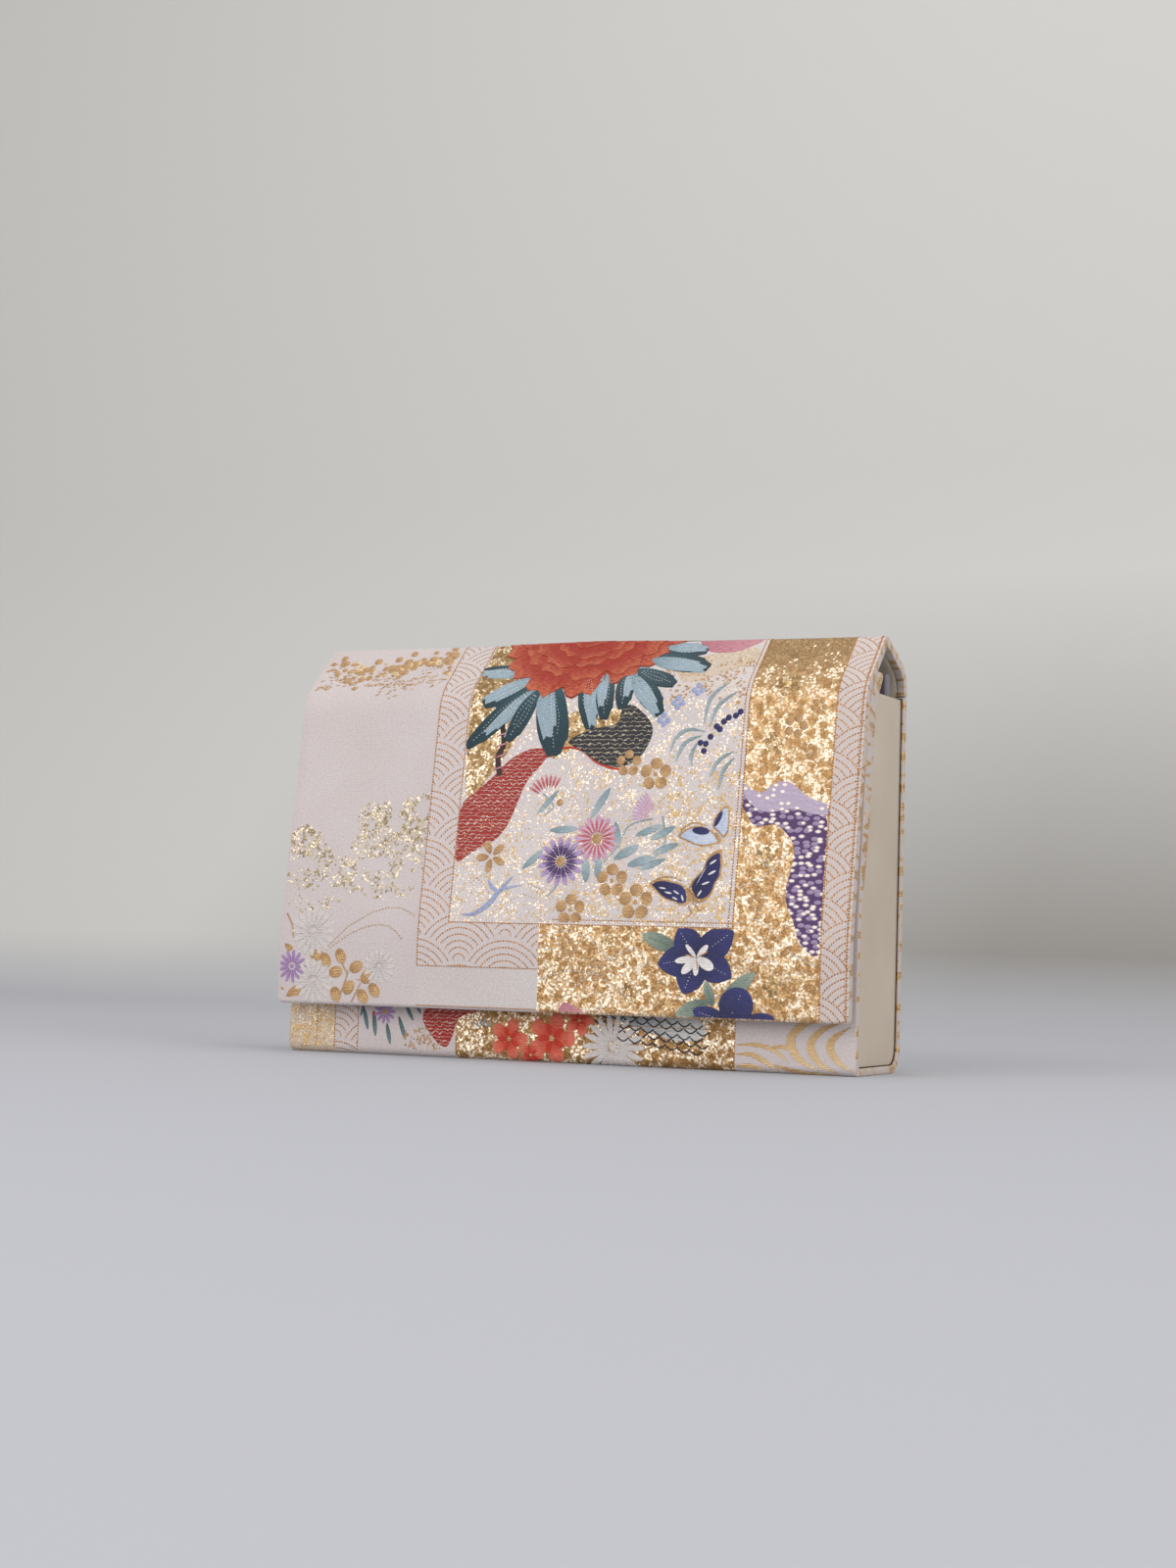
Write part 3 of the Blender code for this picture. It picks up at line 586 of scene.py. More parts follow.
def bodyField(u, v, deep, normal):
    look = bodyLook
    if deep > 1.2 or abs(normal.x) > 0.7:
        return 4
    if v > look["backFrom"]:
        # the flap's bands run on over the fold and down the back
        edges = ("leftLine", "panelLeft", "panelRight", "bandRight")
        return (2, 1, 5, 6, 7)[sum(u > flapLook[k] for k in edges)]
    if u < look["speckledTo"]:
        return 0
    if u < look["wavesTo"]:
        return 1
    if u < look["goldFrom"]:
        return 2
    if u < look["goldTo"]:
        return 3
    return 2


bodyMaterials = [richGround, waveSilk, paleSatin, shadedBodyGold, dressEdge, goldenGround, shadedBackGold, waveSilkRight]


def dressBody():
    look = bodyLook
    bm = copyNode("outer_cover")
    roundEdges(bm, outerEdges(bm, 0.1248), look["edgeRound"] * mm)
    lines = [look[k] for k in ("speckledTo", "wavesTo", "goldFrom", "goldTo")]
    lines += [flapLook[k] for k in ("leftLine", "panelRight", "bandRight")]
    sliceAt(bm, 0, [u * mm for u in lines + [x for x in range(-120, 121, 12)]])
    sliceAt(bm, 2, [z * mm for z in range(12, 150, 12)])
    sliceAt(bm, 1, [0.0])
    layCloth(bm, bodyLine, bodyField, 3.0)
    made = finishPiece(bm, "bodyCloth", "bag", bodyMaterials)
    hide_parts("outer_cover")
    return made


flapCloth = dressFlap()
bodyCloth = dressBody()
print("flap and body cloth laid", len(flapCloth.data.polygons), len(bodyCloth.data.polygons))

creamSatin = liningSatin("creamLiningSatin", "#c9bda9", "#c1b4a0")
greySatin = liningSatin("greySatin", "#6d6470", "#544c56", 0.0011)
creamLeather = coatedLeather("creamCoatedLeather", "#c9bcab", "#bdb09f")
greyBoard = simpleFinish("greyBoard", "#8f8b85", "#7d7973", 0.9, 300.0)
wadding = simpleFinish("waddingFleece", "#dedbd4", "#cfccc4", 0.95, 400.0, depth=0.0003)
paleGoldPlate = simpleFinish("paleGoldPlate", "#dcc890", "#cdb67a", 0.28, 60.0, 1.0, 0.00001)


# Linings keep their place and get soft edges
def dressLining(node, name, body, material, width=0.25, cuts=12, swell=None):
    bm = copyNode(node)
    sharp = [e for e in bm.edges if len(e.link_faces) == 2 and e.is_convex and e.calc_face_angle() > radians(60)]
    roundEdges(bm, sharp, width * mm, 2)
    sliceAt(bm, 0, [x * mm for x in range(-120, 121, cuts)])
    sliceAt(bm, 2, [z * mm for z in range(6, 170, cuts)])
    if swell:
        for vert in bm.verts:
            vert.co += swell(vert.co)
    made = finishPiece(bm, name, body, [material])
    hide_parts(node)
    return made


def rideRipple(spot):
    along, depth = flapLine.nearest(np.array([(spot.y / mm + midY, spot.z / mm)]))
    out = flapLine.at(along[0])[1]
    high = ripple(spot.x / mm, along[0]) * mm
    return Vector((0, out[0] * high, out[1] * high))


flapLining = dressLining("flap_lining", "flapLining", "flap", creamSatin, swell=rideRipple)
innerLining = dressLining("inner_lining", "innerLining", "bag", creamSatin)
slipPocket = dressLining("slip_pocket", "slipPocket", "bag", creamSatin, 0.2)

gussetLook = {"belly": 0.7, "roundEdge": 0.3}


def dressGusset(node, name, side):
    low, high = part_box(node)
    middle, span = (low + high) / 2, (high - low) / 2

    # the panel stands out a little in its middle, as a stiff soft panel does
    def belly(co):
        if abs(co.x) < 0.1225:
            return Vector((0, 0, 0))
        y = max(0.0, 1 - ((co.y - middle.y) / span.y) ** 2)
        z = max(0.0, 1 - ((co.z - middle.z) / span.z) ** 2)
        return Vector((side * gussetLook["belly"] * mm * (y * z) ** 0.5, 0, 0))

    bm = copyNode(node)
    sharp = [e for e in bm.edges if len(e.link_faces) == 2 and e.is_convex and e.calc_face_angle() > radians(60)]
    roundEdges(bm, sharp, gussetLook["roundEdge"] * mm, 3)
    sliceAt(bm, 2, [z * mm for z in range(6, 148, 6)])
    sliceAt(bm, 1, [y * mm for y in range(-18, 30, 4)])
    for vert in bm.verts:
        vert.co += belly(vert.co)
    made = finishPiece(bm, name, "bag", [creamLeather])
    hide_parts(node)
    return made


leftGusset = dressGusset("left_gusset", "leftGusset", -1)
rightGusset = dressGusset("right_gusset", "rightGusset", 1)


# Padded satin divider: its faces stand out a little between the edges
def dividerSwell(co):
    low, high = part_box("divider_cover")
    middle, span = (low + high) / 2, (high - low) / 2
    x = max(0.0, 1 - ((co.x - middle.x) / span.x) ** 4)
    z = max(0.0, 1 - ((co.z - middle.z) / span.z) ** 4)
    way = (co.y - middle.y) / span.y
    return Vector((0, 0.6 * mm * way * x * z, 0))


dividerPad = dressLining("divider_cover", "dividerPad", "bag", greySatin, 0.4, 8, dividerSwell)
for node, material in (("front_board", greyBoard), ("base_board", greyBoard), ("back_board", greyBoard),
                       ("flap_top_board", greyBoard), ("flap_front_board", greyBoard),
                       ("front_pad", wadding), ("divider_core", wadding), ("snap_socket", paleGoldPlate),
                       ("socket_washer", paleGoldPlate), ("snap_stud", paleGoldPlate),
                       ("stud_washer", paleGoldPlate)):
    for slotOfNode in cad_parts[node].material_slots:
        slotOfNode.material = material
print("linings, gussets and divider dressed")

# Thread and silk finishes of the motifs
peonySilk = silkFloat("peonySilk", "#a02304", "#bf6240", 0.74, 1.0, ragged=0.4)
# dark red rims of the peony's petals: painted shade between the petals
peonyRimShade = silkFloat("peonyRimPaintedShade", "#74200f", "#8e3422", 0.0, 1.0)
leafPale = silkFloat("blueGreyLeafSilk", "#768f9b", "#98abb6", 0.0, 0.5, ragged=0.5)
leafDeep = silkFloat("tealLeafSilk", "#2f4e58", "#203a43", 0.2, 0.8, ragged=0.7)
paleTeal = silkFloat("paleTealSilk", "#8499a0", "#a9b7bc", 0.2, 0.9)
grassSilk = silkFloat("greyGreenLeafSilk", "#4f6368", "#6c8084", 0.2, 0.9)
sageSilk = silkFloat("sageSilk", "#66756b", "#93a091", 0.2, 0.9)
navySilk = silkFloat("navySilk", "#26264f", "#35376f", 0.2, 0.9)
whiteSilk = silkFloat("whiteSilk", "#dcd5d2", "#efe9e6", 0.2, 0.9)
reliefSilk = silkFloat("whiteReliefSilk", "#cbc2bf", "#d6ceca", 0.0, 0.9)
purpleSilk = silkFloat("purpleSilk", "#553a6e", "#b59cc6", 0.42, 0.72)
mauveSilk = silkFloat("mauveSilk", "#9d7aab", "#ab8bb8", 0.2, 0.9)
pinkSilk = silkFloat("pinkSilk", "#c05a64", "#dda5a6", 0.5, 1.0)
palePink = silkFloat("palePinkSilk", "#d8b9c4", "#c7a3c4", 0.2, 0.9)
roseSilk = silkFloat("roseSilk", "#b06a76", "#c9909a", 0.0, 1.0, threadPitch=1.0)
lilacSilk = silkFloat("lilacBlueSilk", "#8f9ac0", "#aab3d2", 0.0, 1.0)
paleBlue = silkFloat("paleBlueSilk", "#b4c0d8", "#d3d9e6", 0.0, 1.0)
darkSilk = silkFloat("darkBrownSilk", "#2c1c1c", "#46302c", 0.0, 1.0)
blackSilk = silkFloat("blackSilk", "#1b1a22", "#2b2930", 0.0, 1.0)
greySilk = silkFloat("greySilk", "#8d9092", "#d5d3d1", 0.2, 0.8)
redSilk = silkFloat("redSilk", "#b02418", "#c83a24", 0.0, 1.0)
orangeSilk = silkFloat("orangeRedSilk", "#c4432b", "#d9705a", 0.2, 0.8)
goldenThread = silkFloat("goldenWaveThread", "#c29a68", "#e2c698", 0.0, 1.0, metallic=0.35, roughness=0.4)
fieldThread = silkFloat("fieldLineThread", "#9c6434", "#c88f50", 0.0, 1.0, metallic=0.3, roughness=0.4)
goldThread = silkFloat("goldBrownThread", "#a87f53", "#cba67a", 0.0, 1.0, metallic=0.25, roughness=0.42, ragged=0.9,
                       twill=0.16)
brightThread = silkFloat("brightGoldThread", "#d2a35c", "#f3dcaa", 0.0, 1.0, metallic=0.5, roughness=0.3)
silverFoil = goldFoil("silverGoldFlake", 0.3, "#a08c68", "#cfc09a")
redCloud = dottedSilk("redTiedDotSilk", "#a82418", "#88170f", "#d2b8ad", (3.4, 1.5), (1.75, 0.5))
blackCloud = dottedSilk("blackTiedDotSilk", "#14131a", "#211f27", "#b8ac94", (3.6, 1.8), (1.8, 0.5))
# the third colour given to each cloud of ovals is its painted glint
purpleCloud = tiedOvals("purpleTiedDotSilk", "#4e2f60", "#9c8aa8", "#fbeed8", (3.3, 1.9), 0.55, 0.43)
lavenderCloud = tiedOvals("lavenderSilk", "#b3a2b8", "#bbabc0", "#fff2dc", (3.2, 2.2), 0.55, 0.4)
print("silks and threads made")


# Motifs are drawn flat in cloth millimetres, pressed in at their rims, then laid on the cloth
class MotifSheet:
    def __init__(self, name, line, body):
        self.name, self.line, self.body = name, line, body
        self.bm = bmesh.new()
        self.stitch = self.bm.loops.layers.uv.new("stitch")
        self.cloth = self.bm.loops.layers.uv.new("cloth")
        self.materials = []
        self.laid = 0

    # no two motifs share a height, so none flickers through another
    def rise(self):
        self.laid += 1
        return 0.006 * (self.laid % 16)

    def slotOf(self, material):
        if material not in self.materials:
            self.materials.append(material)
        return self.materials.index(material)

    # local x runs along the motif from root to tip, local y across it
    def settle(self, faces, at, angle, length, material, lift, rim, edge=None):
        ring = bmesh.ops.inset_region(self.bm, faces=faces, thickness=rim, use_boundary=True,
                                      use_even_offset=True)["faces"] if rim else []
        inner = set(v for f in faces for v in f.verts)
        everything = list(faces) + list(ring)
        verts = set(v for f in everything for v in f.verts)
        lift += self.rise()
        for vert in verts:
            vert.co.z = lift if vert in inner else -0.06
        for face in everything:
            face.material_index = self.slotOf(edge if edge and face in ring else material)
            for loop in face.loops:
                loop[self.stitch].uv = (loop.vert.co.x / length, loop.vert.co.y)
        turn = Matrix.Translation((at[0], at[1], 0)) @ Matrix.Rotation(angle, 4, "Z")
        bmesh.ops.transform(self.bm, matrix=turn, verts=list(verts))

    # A petal, leaf or dot from one circle; point above 1 sharpens its ends, scallop waves its rim
    def petal(self, root, tip, width, material, lift=0.2, taper=0.3, point=1.0, scallop=0.0, rim=0.22, sides=16,
              edge=None):
        way = Vector(tip) - Vector(root)
        length = max(way.length, 0.01)
        verts = bmesh.ops.create_circle(self.bm, cap_ends=True, radius=1.0, segments=sides)["verts"]
        for vert in verts:
            share = (vert.co.x + 1) / 2
            wide = abs(vert.co.y) ** point * (1 if vert.co.y > 0 else -1)
            wave = 1 + scallop * cos(9 * vert.co.y + 3 * vert.co.x) * share
            vert.co = (share * length * wave, wide * width / 2 * (1 - taper + taper * share) * wave, 0)
        face = verts[0].link_faces[0]
        rim = min(rim, width * 0.3)
        self.settle([face], root, Vector((1, 0)).angle_signed(way) * -1, length, material, lift, rim, edge)

    def dot(self, at, radius, material, lift=0.18, stretch=1.0, angle=0.0, sides=10):
        reach = Vector((cos(angle), sin(angle))) * radius * stretch
        middle = Vector(at)
        self.petal(middle - reach, middle + reach, radius * 2, material, lift, 0.0, sides=sides)

    # A field with a rounded outline from a few corners
    def field(self, corners, material, lift=0.12, rim=0.25, cuts=3, passes=3):
        start = Vector(corners[0])
        verts = [self.bm.verts.new((*(Vector(c) - start), 0)) for c in corners]
        edges = [self.bm.edges.new((one, two)) for one, two in zip(verts, verts[1:] + verts[:1])]
        if cuts:
            split = bmesh.ops.subdivide_edges(self.bm, edges=edges, cuts=cuts)["geom_split"]
            edges = list({g for g in split if isinstance(g, bmesh.types.BMEdge)})
            ringVerts = list({v for e in edges for v in e.verts})
            for _ in range(passes):
                bmesh.ops.smooth_vert(self.bm, verts=ringVerts, factor=0.5, use_axis_x=True, use_axis_y=True)
        made = bmesh.ops.contextual_create(self.bm, geom=edges)["faces"]
        span = max((Vector(c) - start).length for c in corners)
        self.settle(made, corners[0], 0.0, span, material, lift, rim)

    # A narrow line of thread through a few places
    def strand(self, path, width, material, lift=0.2, steps=5, taper=False):
        spots = [Vector(p) for p in path]
        line = []
        for index in range(len(spots) - 1):
            before, one = spots[max(index - 1, 0)], spots[index]
            two, after = spots[index + 1], spots[min(index + 2, len(spots) - 1)]
            for step in range(steps):
                t = step / steps
                line.append(0.5 * (2 * one + (two - before) * t + (2 * before - 5 * one + 4 * two - after) * t * t
                                   + (3 * one - before - 3 * two + after) * t ** 3))
        line.append(spots[-1])
        lift += self.rise()
        length, edge = 0.0, None
        total = sum((two - one).length for one, two in zip(line, line[1:]))
        for index, spot in enumerate(line):
            way = (line[min(index + 1, len(line) - 1)] - line[max(index - 1, 0)]).normalized()
            half = width / 2 * (max(0.12, sin(pi * index / (len(line) - 1))) if taper else 1.0)
            across = Vector((-way.y, way.x)) * half
            if edge is None:
                pair = [self.bm.verts.new((*(spot + across), lift)), self.bm.verts.new((*(spot - across), lift))]
                edge = self.bm.edges.new(pair)
                continue
            length += (spot - line[index - 1]).length
            pushed = bmesh.ops.extrude_edge_only(self.bm, edges=[edge])["geom"]
            edge = [g for g in pushed if isinstance(g, bmesh.types.BMEdge)][0]
            fresh = [g for g in pushed if isinstance(g, bmesh.types.BMVert)]
            face = [g for g in pushed if isinstance(g, bmesh.types.BMFace)][0]
            old = [v for v in face.verts if v not in fresh]
            for vert in fresh:
                mate = [e.other_vert(vert) for e in vert.link_edges if e.other_vert(vert) in old][0]
                vert.co = (*(spot + across if mate is pair[0] else spot - across), lift)
            pair = [next(v for v in fresh if any(e.other_vert(v) is pair[0] for e in v.link_edges)),
                    next(v for v in fresh if any(e.other_vert(v) is pair[1] for e in v.link_edges))]
            face.material_index = self.slotOf(material)
            for loop in face.loops:
                here = length if loop.vert in fresh else length - (spot - line[index - 1]).length
                loop[self.stitch].uv = (here / total, 0.0 if loop.vert in (pair[0],) else width)

    # Short dashes of thread along a path
    def dashes(self, path, width, material, dash=1.0, gap=0.55, lift=0.16):
        spots = [Vector(p) for p in path]
        for one, two in zip(spots, spots[1:]):
            way = two - one
            count = max(1, round(way.length / (dash + gap)))
            for step in range(count):
                start = one + way * (step / count)
                end = start + way.normalized() * way.length / count * dash / (dash + gap)
                self.petal(start, end, width, material, lift, 0.0, rim=0.08, sides=6)

    # Leaves out what lies beyond the field, cuts the rest into steps that follow the section, and lays it
    def lay(self, crop=(-124.3, 124.3, -36.0, 162.6), slot="brocade"):
        for axis, sign, place in ((0, -1, crop[0]), (0, 1, crop[1]), (1, -1, crop[2]), (1, 1, crop[3])):
            normal = Vector((0, 0, 0))
            normal[axis] = sign
            spot = Vector((0, 0, 0))
            spot[axis] = place
            geometry = self.bm.verts[:] + self.bm.edges[:] + self.bm.faces[:]
            bmesh.ops.bisect_plane(self.bm, geom=geometry, plane_co=spot, plane_no=normal, clear_outer=True)
        heights = [v.co.y for v in self.bm.verts]
        low, high = min(heights), max(heights)
        if self.line is flapLine:
            places = [x / 2 for x in range(-14, 15)] + list(range(-36, -7, 2)) + list(range(8, 46, 3)) + \
                list(range(48, 163, 9))
        else:
            places = list(range(0, 34, 3)) + list(range(36, 152, 12)) + [x / 2 for x in range(306, 326)] + \
                list(range(170, 202, 10)) + list(range(202, 222, 1)) + list(range(230, 358, 14))
        for place in places:
            if low < place < high:
                geometry = self.bm.verts[:] + self.bm.edges[:] + self.bm.faces[:]
                bmesh.ops.bisect_plane(self.bm, geom=geometry, plane_co=(0, place, 0), plane_no=(0, 1, 0))
        bmesh.ops.triangulate(self.bm, faces=[f for f in self.bm.faces if len(f.verts) > 4])
        # u across, v down and lift outwards make a left-handed set, so faces that face up are turned
        self.bm.normal_update()
        bmesh.ops.reverse_faces(self.bm, faces=[f for f in self.bm.faces if f.normal.z > 0])
        for face in self.bm.faces:
            for loop in face.loops:
                loop[self.cloth].uv = loop.vert.co.xy
        for vert in self.bm.verts:
            vert.co = onCloth(self.line, *vert.co)
        made = finishPiece(self.bm, self.name, self.body, self.materials, radians(28))
        print(self.name, len(made.data.polygons))
        return made


def round_(at, radius, angle):
    return (at[0] + radius * cos(angle), at[1] + radius * sin(angle))


# A flower of even petals round a centre
def flower(sheet, at, radius, petals, material, inner=0.2, wide=0.9, centre=None, centreSize=0.2, lift=0.2,
           turn=0.0, span=2 * pi, squash=1.0, **shape):
    for index in range(petals):
        angle = turn + span * index / petals
        root, tip = round_((0, 0), radius * inner, angle), round_((0, 0), radius, angle)
        width = 2 * pi * radius * 0.72 * wide / petals * (span / (2 * pi))
        sheet.petal((at[0] + root[0], at[1] + root[1] * squash), (at[0] + tip[0], at[1] + tip[1] * squash),
                    width, material, lift + 0.02 * (index % 3), **shape)
    if centre:
        sheet.dot(at, radius * centreSize, centre, lift + 0.12)


# Five round petals, as on plum blossom
def blossom(sheet, at, radius, material, turn=-pi / 2, lift=0.2):
    for index in range(5):
        sheet.dot(round_(at, radius, turn + 2 * pi * index / 5), radius * 0.56, material, lift, 1.1, index * 1.3)
    sheet.dot(at, radius * 0.22, material, lift)


# Rows of wide scalloped petals, the outer rows lowest; each petal's sunk rim is painted dark red as painted shade
# between the petals
def peony(sheet, at, reach, up, rows, material, lift=0.22, step=0.16):
    for row, (count, share, wide) in enumerate(rows):
        for index in range(count):
            angle = 2 * pi * (index + 0.5 * (row % 2)) / count
            length = share * (1 + 0.07 * sin(5 * index + 3 * row))
            way = Vector((reach[0] * cos(angle), (reach[1] if sin(angle) > 0 else up) * sin(angle))) * length
            tip, root = Vector(at) + way, Vector(at) + way * 0.12
            width = 2 * pi * (reach[0] + reach[1]) / 2 * share / count * wide
            sheet.petal(root, tip, width, material, lift + step * row + 0.03 * (index % 2), 0.5, 0.8, 0.045, 0.65, 24,
                        peonyRimShade)
    sheet.dot(at, reach[0] * 0.09, material, lift + step * len(rows), sides=12)


# Gold flakes strewn over a field, thinner towards its foot
def strew(sheet, corners, count, material, seed, sizes=(0.35, 0.8), fade=0.0, lift=0.14):
    chance = Random(seed)
    low = [min(c[k] for c in corners) for k in (0, 1)]
    high = [max(c[k] for c in corners) for k in (0, 1)]
    done = 0
    while done < count:
        u, v = chance.uniform(low[0], high[0]), chance.uniform(low[1], high[1])
        inside = False
        for (u1, v1), (u2, v2) in zip(corners, corners[1:] + corners[:1]):
            if (v1 > v) != (v2 > v) and u < (u2 - u1) * (v - v1) / (v2 - v1) + u1:
                inside = not inside
        done += 1
        clump = noise.noise(Vector((u / 6, v / 6, seed)))
        if not inside or clump < -0.12 or chance.random() < fade * (v - low[1]) / (high[1] - low[1]):
            continue
        sheet.dot((u, v), chance.uniform(*sizes), material, lift, chance.uniform(0.8, 1.5),
                  chance.uniform(0, pi), 5)


def sheetOn(name, line=flapLine, body="flap"):
    return MotifSheet(name, line, body)


# Left side of the flap: flake cloud, grass, relief chrysanthemums, oval leaves
leftLook = {
    "cloud": [(-124.6, 90), (-118, 87.5), (-110, 92), (-104, 100), (-97, 100), (-92.5, 92), (-90, 84), (-82, 79),
              (-74, 77), (-66, 75), (-60.5, 75), (-60.5, 108), (-66, 119), (-78, 120), (-92, 117), (-104, 124),
              (-114, 127), (-124.6, 124)],
    "flakes": 5200,
    "grass": [[(-102, 139.5), (-93, 131), (-82, 124.8), (-75, 122.8), (-69, 122.6), (-64.5, 124.5), (-61.5, 126.5)],
              [(-101, 140), (-92, 134), (-85, 131), (-79.2, 129.8), (-74, 130.2), (-70, 132.6), (-67, 136)]],
    "reliefs": [((-109.2, 133.3), 10.5, 16), ((-108.3, 153.6), 9.5, 16), ((-77.5, 147), 7.5, 14)],
    "ovals": [(-95.7, 143.2, 1.1), (-97.8, 149.8, -0.2), (-88.3, 147.4, -0.5), (-83.3, 151.3, -0.9),
              (-91.5, 156, -1.0), (-97.5, 159, 1.2), (-79.5, 156.8, 0.9), (-84.8, 159.4, 0.9), (-107, 143, 0.0),
              (-102.8, 145, 1.0)],
}


def layLeftSide():
    look = leftLook
    flakes = sheetOn("leftFlakes")
    strew(flakes, look["cloud"], look["flakes"], silverFoil, 5, (0.35, 0.7), 0.85)
    for at, radius in (((-86.6, 85.5), 6.6), ((-73, 96), 4.5), ((-96, 108), 4.0), ((-118, 95), 6.5)):
        for index in range(int(radius * 7)):
            spot = round_(at, radius * (0.86 + 0.14 * sin(index * 2.4)), index * 2 * pi / int(radius * 7))
            flakes.dot(spot, 0.55, silverFoil, 0.16, 1.2, index, 5)
    chance = Random(11)
    for index in range(90):
        u = chance.uniform(-122, -62)
        v = chance.gauss(15.5 + 4 * sin(u / 9), 3.4)
        size = chance.uniform(0.5, 1.9)
        flakes.petal((u - size, v + size * 0.3), (u + size, v - size * 0.3), size * 1.7,
                     goldThread if index % 6 else brightThread, 0.15, 0.0, 0.7, sides=4, rim=0.15)
    for index in range(44):
        u = chance.uniform(-122, -62)
        v = chance.gauss(13 + 4 * sin(u / 9), 3.6)
        size = chance.uniform(1.2, 2.1)
        flakes.petal((u - size, v + size * 0.2), (u + size, v - size * 0.2), size * 2.0,
                     goldThread if index % 8 else brightThread, 0.16, 0.0, 0.45, sides=8, rim=0.2)
    for index in range(160):
        u = chance.uniform(-122, -62)
        v = chance.gauss(24 + 3 * sin(u / 7 + 1), 3.0)
        size = chance.uniform(0.4, 1.3)
        flakes.petal((u - size, v + size * 0.5), (u + size, v - size * 0.5), 0.7, goldThread, 0.12, 0.0, sides=5,
                     rim=0.12)
    flakes.lay((-124.3, -60.6, -36, 162.6))
    relief = sheetOn("leftRelief")
    for at, radius, count in look["reliefs"]:
        flower(relief, at, radius, count, reliefSilk, 0.16, 0.95, reliefSilk, 0.12, 0.22)
    relief.lay((-124.3, -60.6, -36, 162.6))
    plants = sheetOn("leftPlants")
    for path in look["grass"]:
        plants.dashes(path, 0.55, goldThread, 1.1, 0.35)
    for twig in ([(-108, 25), (-100, 22), (-92, 22.5), (-84, 19)], [(-88, 24.5), (-80, 24), (-74, 22)],
                 [(-120, 20), (-112, 22)], [(-98, 27), (-88, 25.5), (-80, 26)], [(-76, 17), (-66, 15)]):
        plants.dashes(twig, 0.4, goldThread, 1.3, 0.5)
    for u, v, turn in look["ovals"]:
        plants.dot((u, v), 2.5, goldThread, 0.2, 1.35, turn, 14)
        for share in (-0.32, 0.12, 0.5):
            side = Vector((-sin(turn), cos(turn))) * share * 2.6
            reach = Vector((cos(turn), sin(turn))) * 1.7
            middle = Vector((u, v)) + side
            plants.petal(middle - reach, middle + reach, 0.5, brightThread, 0.27, 0.0, rim=0.1, sides=6)
    for stem in ([(-96, 160.5), (-93, 153), (-92, 149)], [(-95, 146), (-92.6, 150)], [(-90, 162), (-86, 154)],
                 [(-82, 154), (-88, 152.5)]):
        plants.strand(stem, 0.5, goldThread, 0.16)
    for leaf in ([(-124, 137.5), (-117, 140), (-121, 143)], [(-123, 161.8), (-117, 154), (-111.5, 160.5), (-117, 160)],
                 [(-124, 156), (-121.5, 158), (-124, 158)]):
        plants.field(leaf, goldThread, 0.14, 0.2, 1, 1)
    plants.strand([(-122.5, 126), (-119.5, 131), (-118.8, 136)], 0.6, goldThread, 0.16)
    flower(plants, (-118.9, 148), 7.0, 13, mauveSilk, 0.2, 0.78, mauveSilk, 0.14, 0.26)
    plants.lay((-124.3, -60.6, -36, 162.6))


# Lines of dotted thread that part the fields, with a pair at the panel's foot and right side
def layLines():
    lines = sheetOn("fieldLines")
    look = flapLook
    top = -36
    for u, foot, width in ((look["leftLine"], look["legFoot"], 0.5), (look["panelLeft"], look["panelFoot"], 0.5),
                           (look["panelRight"] - 1.7, look["panelFoot"], 0.5), (look["panelRight"], 162.6, 0.6),
                           (look["bandRight"], 162.6, 0.6), (123.7, 162.6, 0.8)):
        if u == look["panelRight"]:
            foot = look["panelFoot"]
        lines.dashes([(u, v) for v in range(top, int(foot) + 1, 18)] + [(u, foot)], width + 0.12, fieldThread, 1.0, 0.2)
    for v, start, end in ((look["panelFoot"], look["panelLeft"], look["panelRight"]),
                          (look["panelFoot"] - 1.9, 0.0, look["panelRight"]),
                          (look["legFoot"], look["leftLine"], look["legEnd"]), (162.1, -60.0, -5.5)):
        lines.dashes([(start, v), (end, v)], 0.6, fieldThread, 1.0, 0.2)
    lines.lay()


# Peony with its leaves under the ridge
peonyLook = {
    "at": (-1.5, -3.5), "reach": (42, 37), "reachUp": 28,
    "rows": [(13, 1.0, 1.3), (11, 0.8, 1.3), (9, 0.6, 1.3), (7, 0.42, 1.3), (5, 0.25, 1.4)],
    "leaves": [
        ((-24, 20), (-47.5, 18.5), 10.5, 0), ((-17, 24), (-40.5, 38), 11.5, 0), ((-16, 28), (-46.5, 56), 10, 1),
        ((-15, 30), (-27.8, 53.5), 9, 0), ((-15, 28), (-36, 47.5), 9.5, 0), ((-11, 26), (-5.5, 60), 17, 1),
        ((4.5, 22), (9.4, 49), 10.5, 0), ((13, 22), (15.2, 45), 9.5, 1), ((22, 18), (22.5, 41), 9.5, 1),
        ((24, 22), (40, 43), 11, 0), ((24, 20), (44, 29.5), 10, 1), ((29, 12), (56, 19.5), 13, 0),
        ((31, 6), (52, 8.5), 10.5, 0),
        ((-30, -14), (-45, -21), 9, 0), ((-14, -22), (-25, -32), 9, 1), ((20, -20), (33, -30), 9, 0),
    ],
}


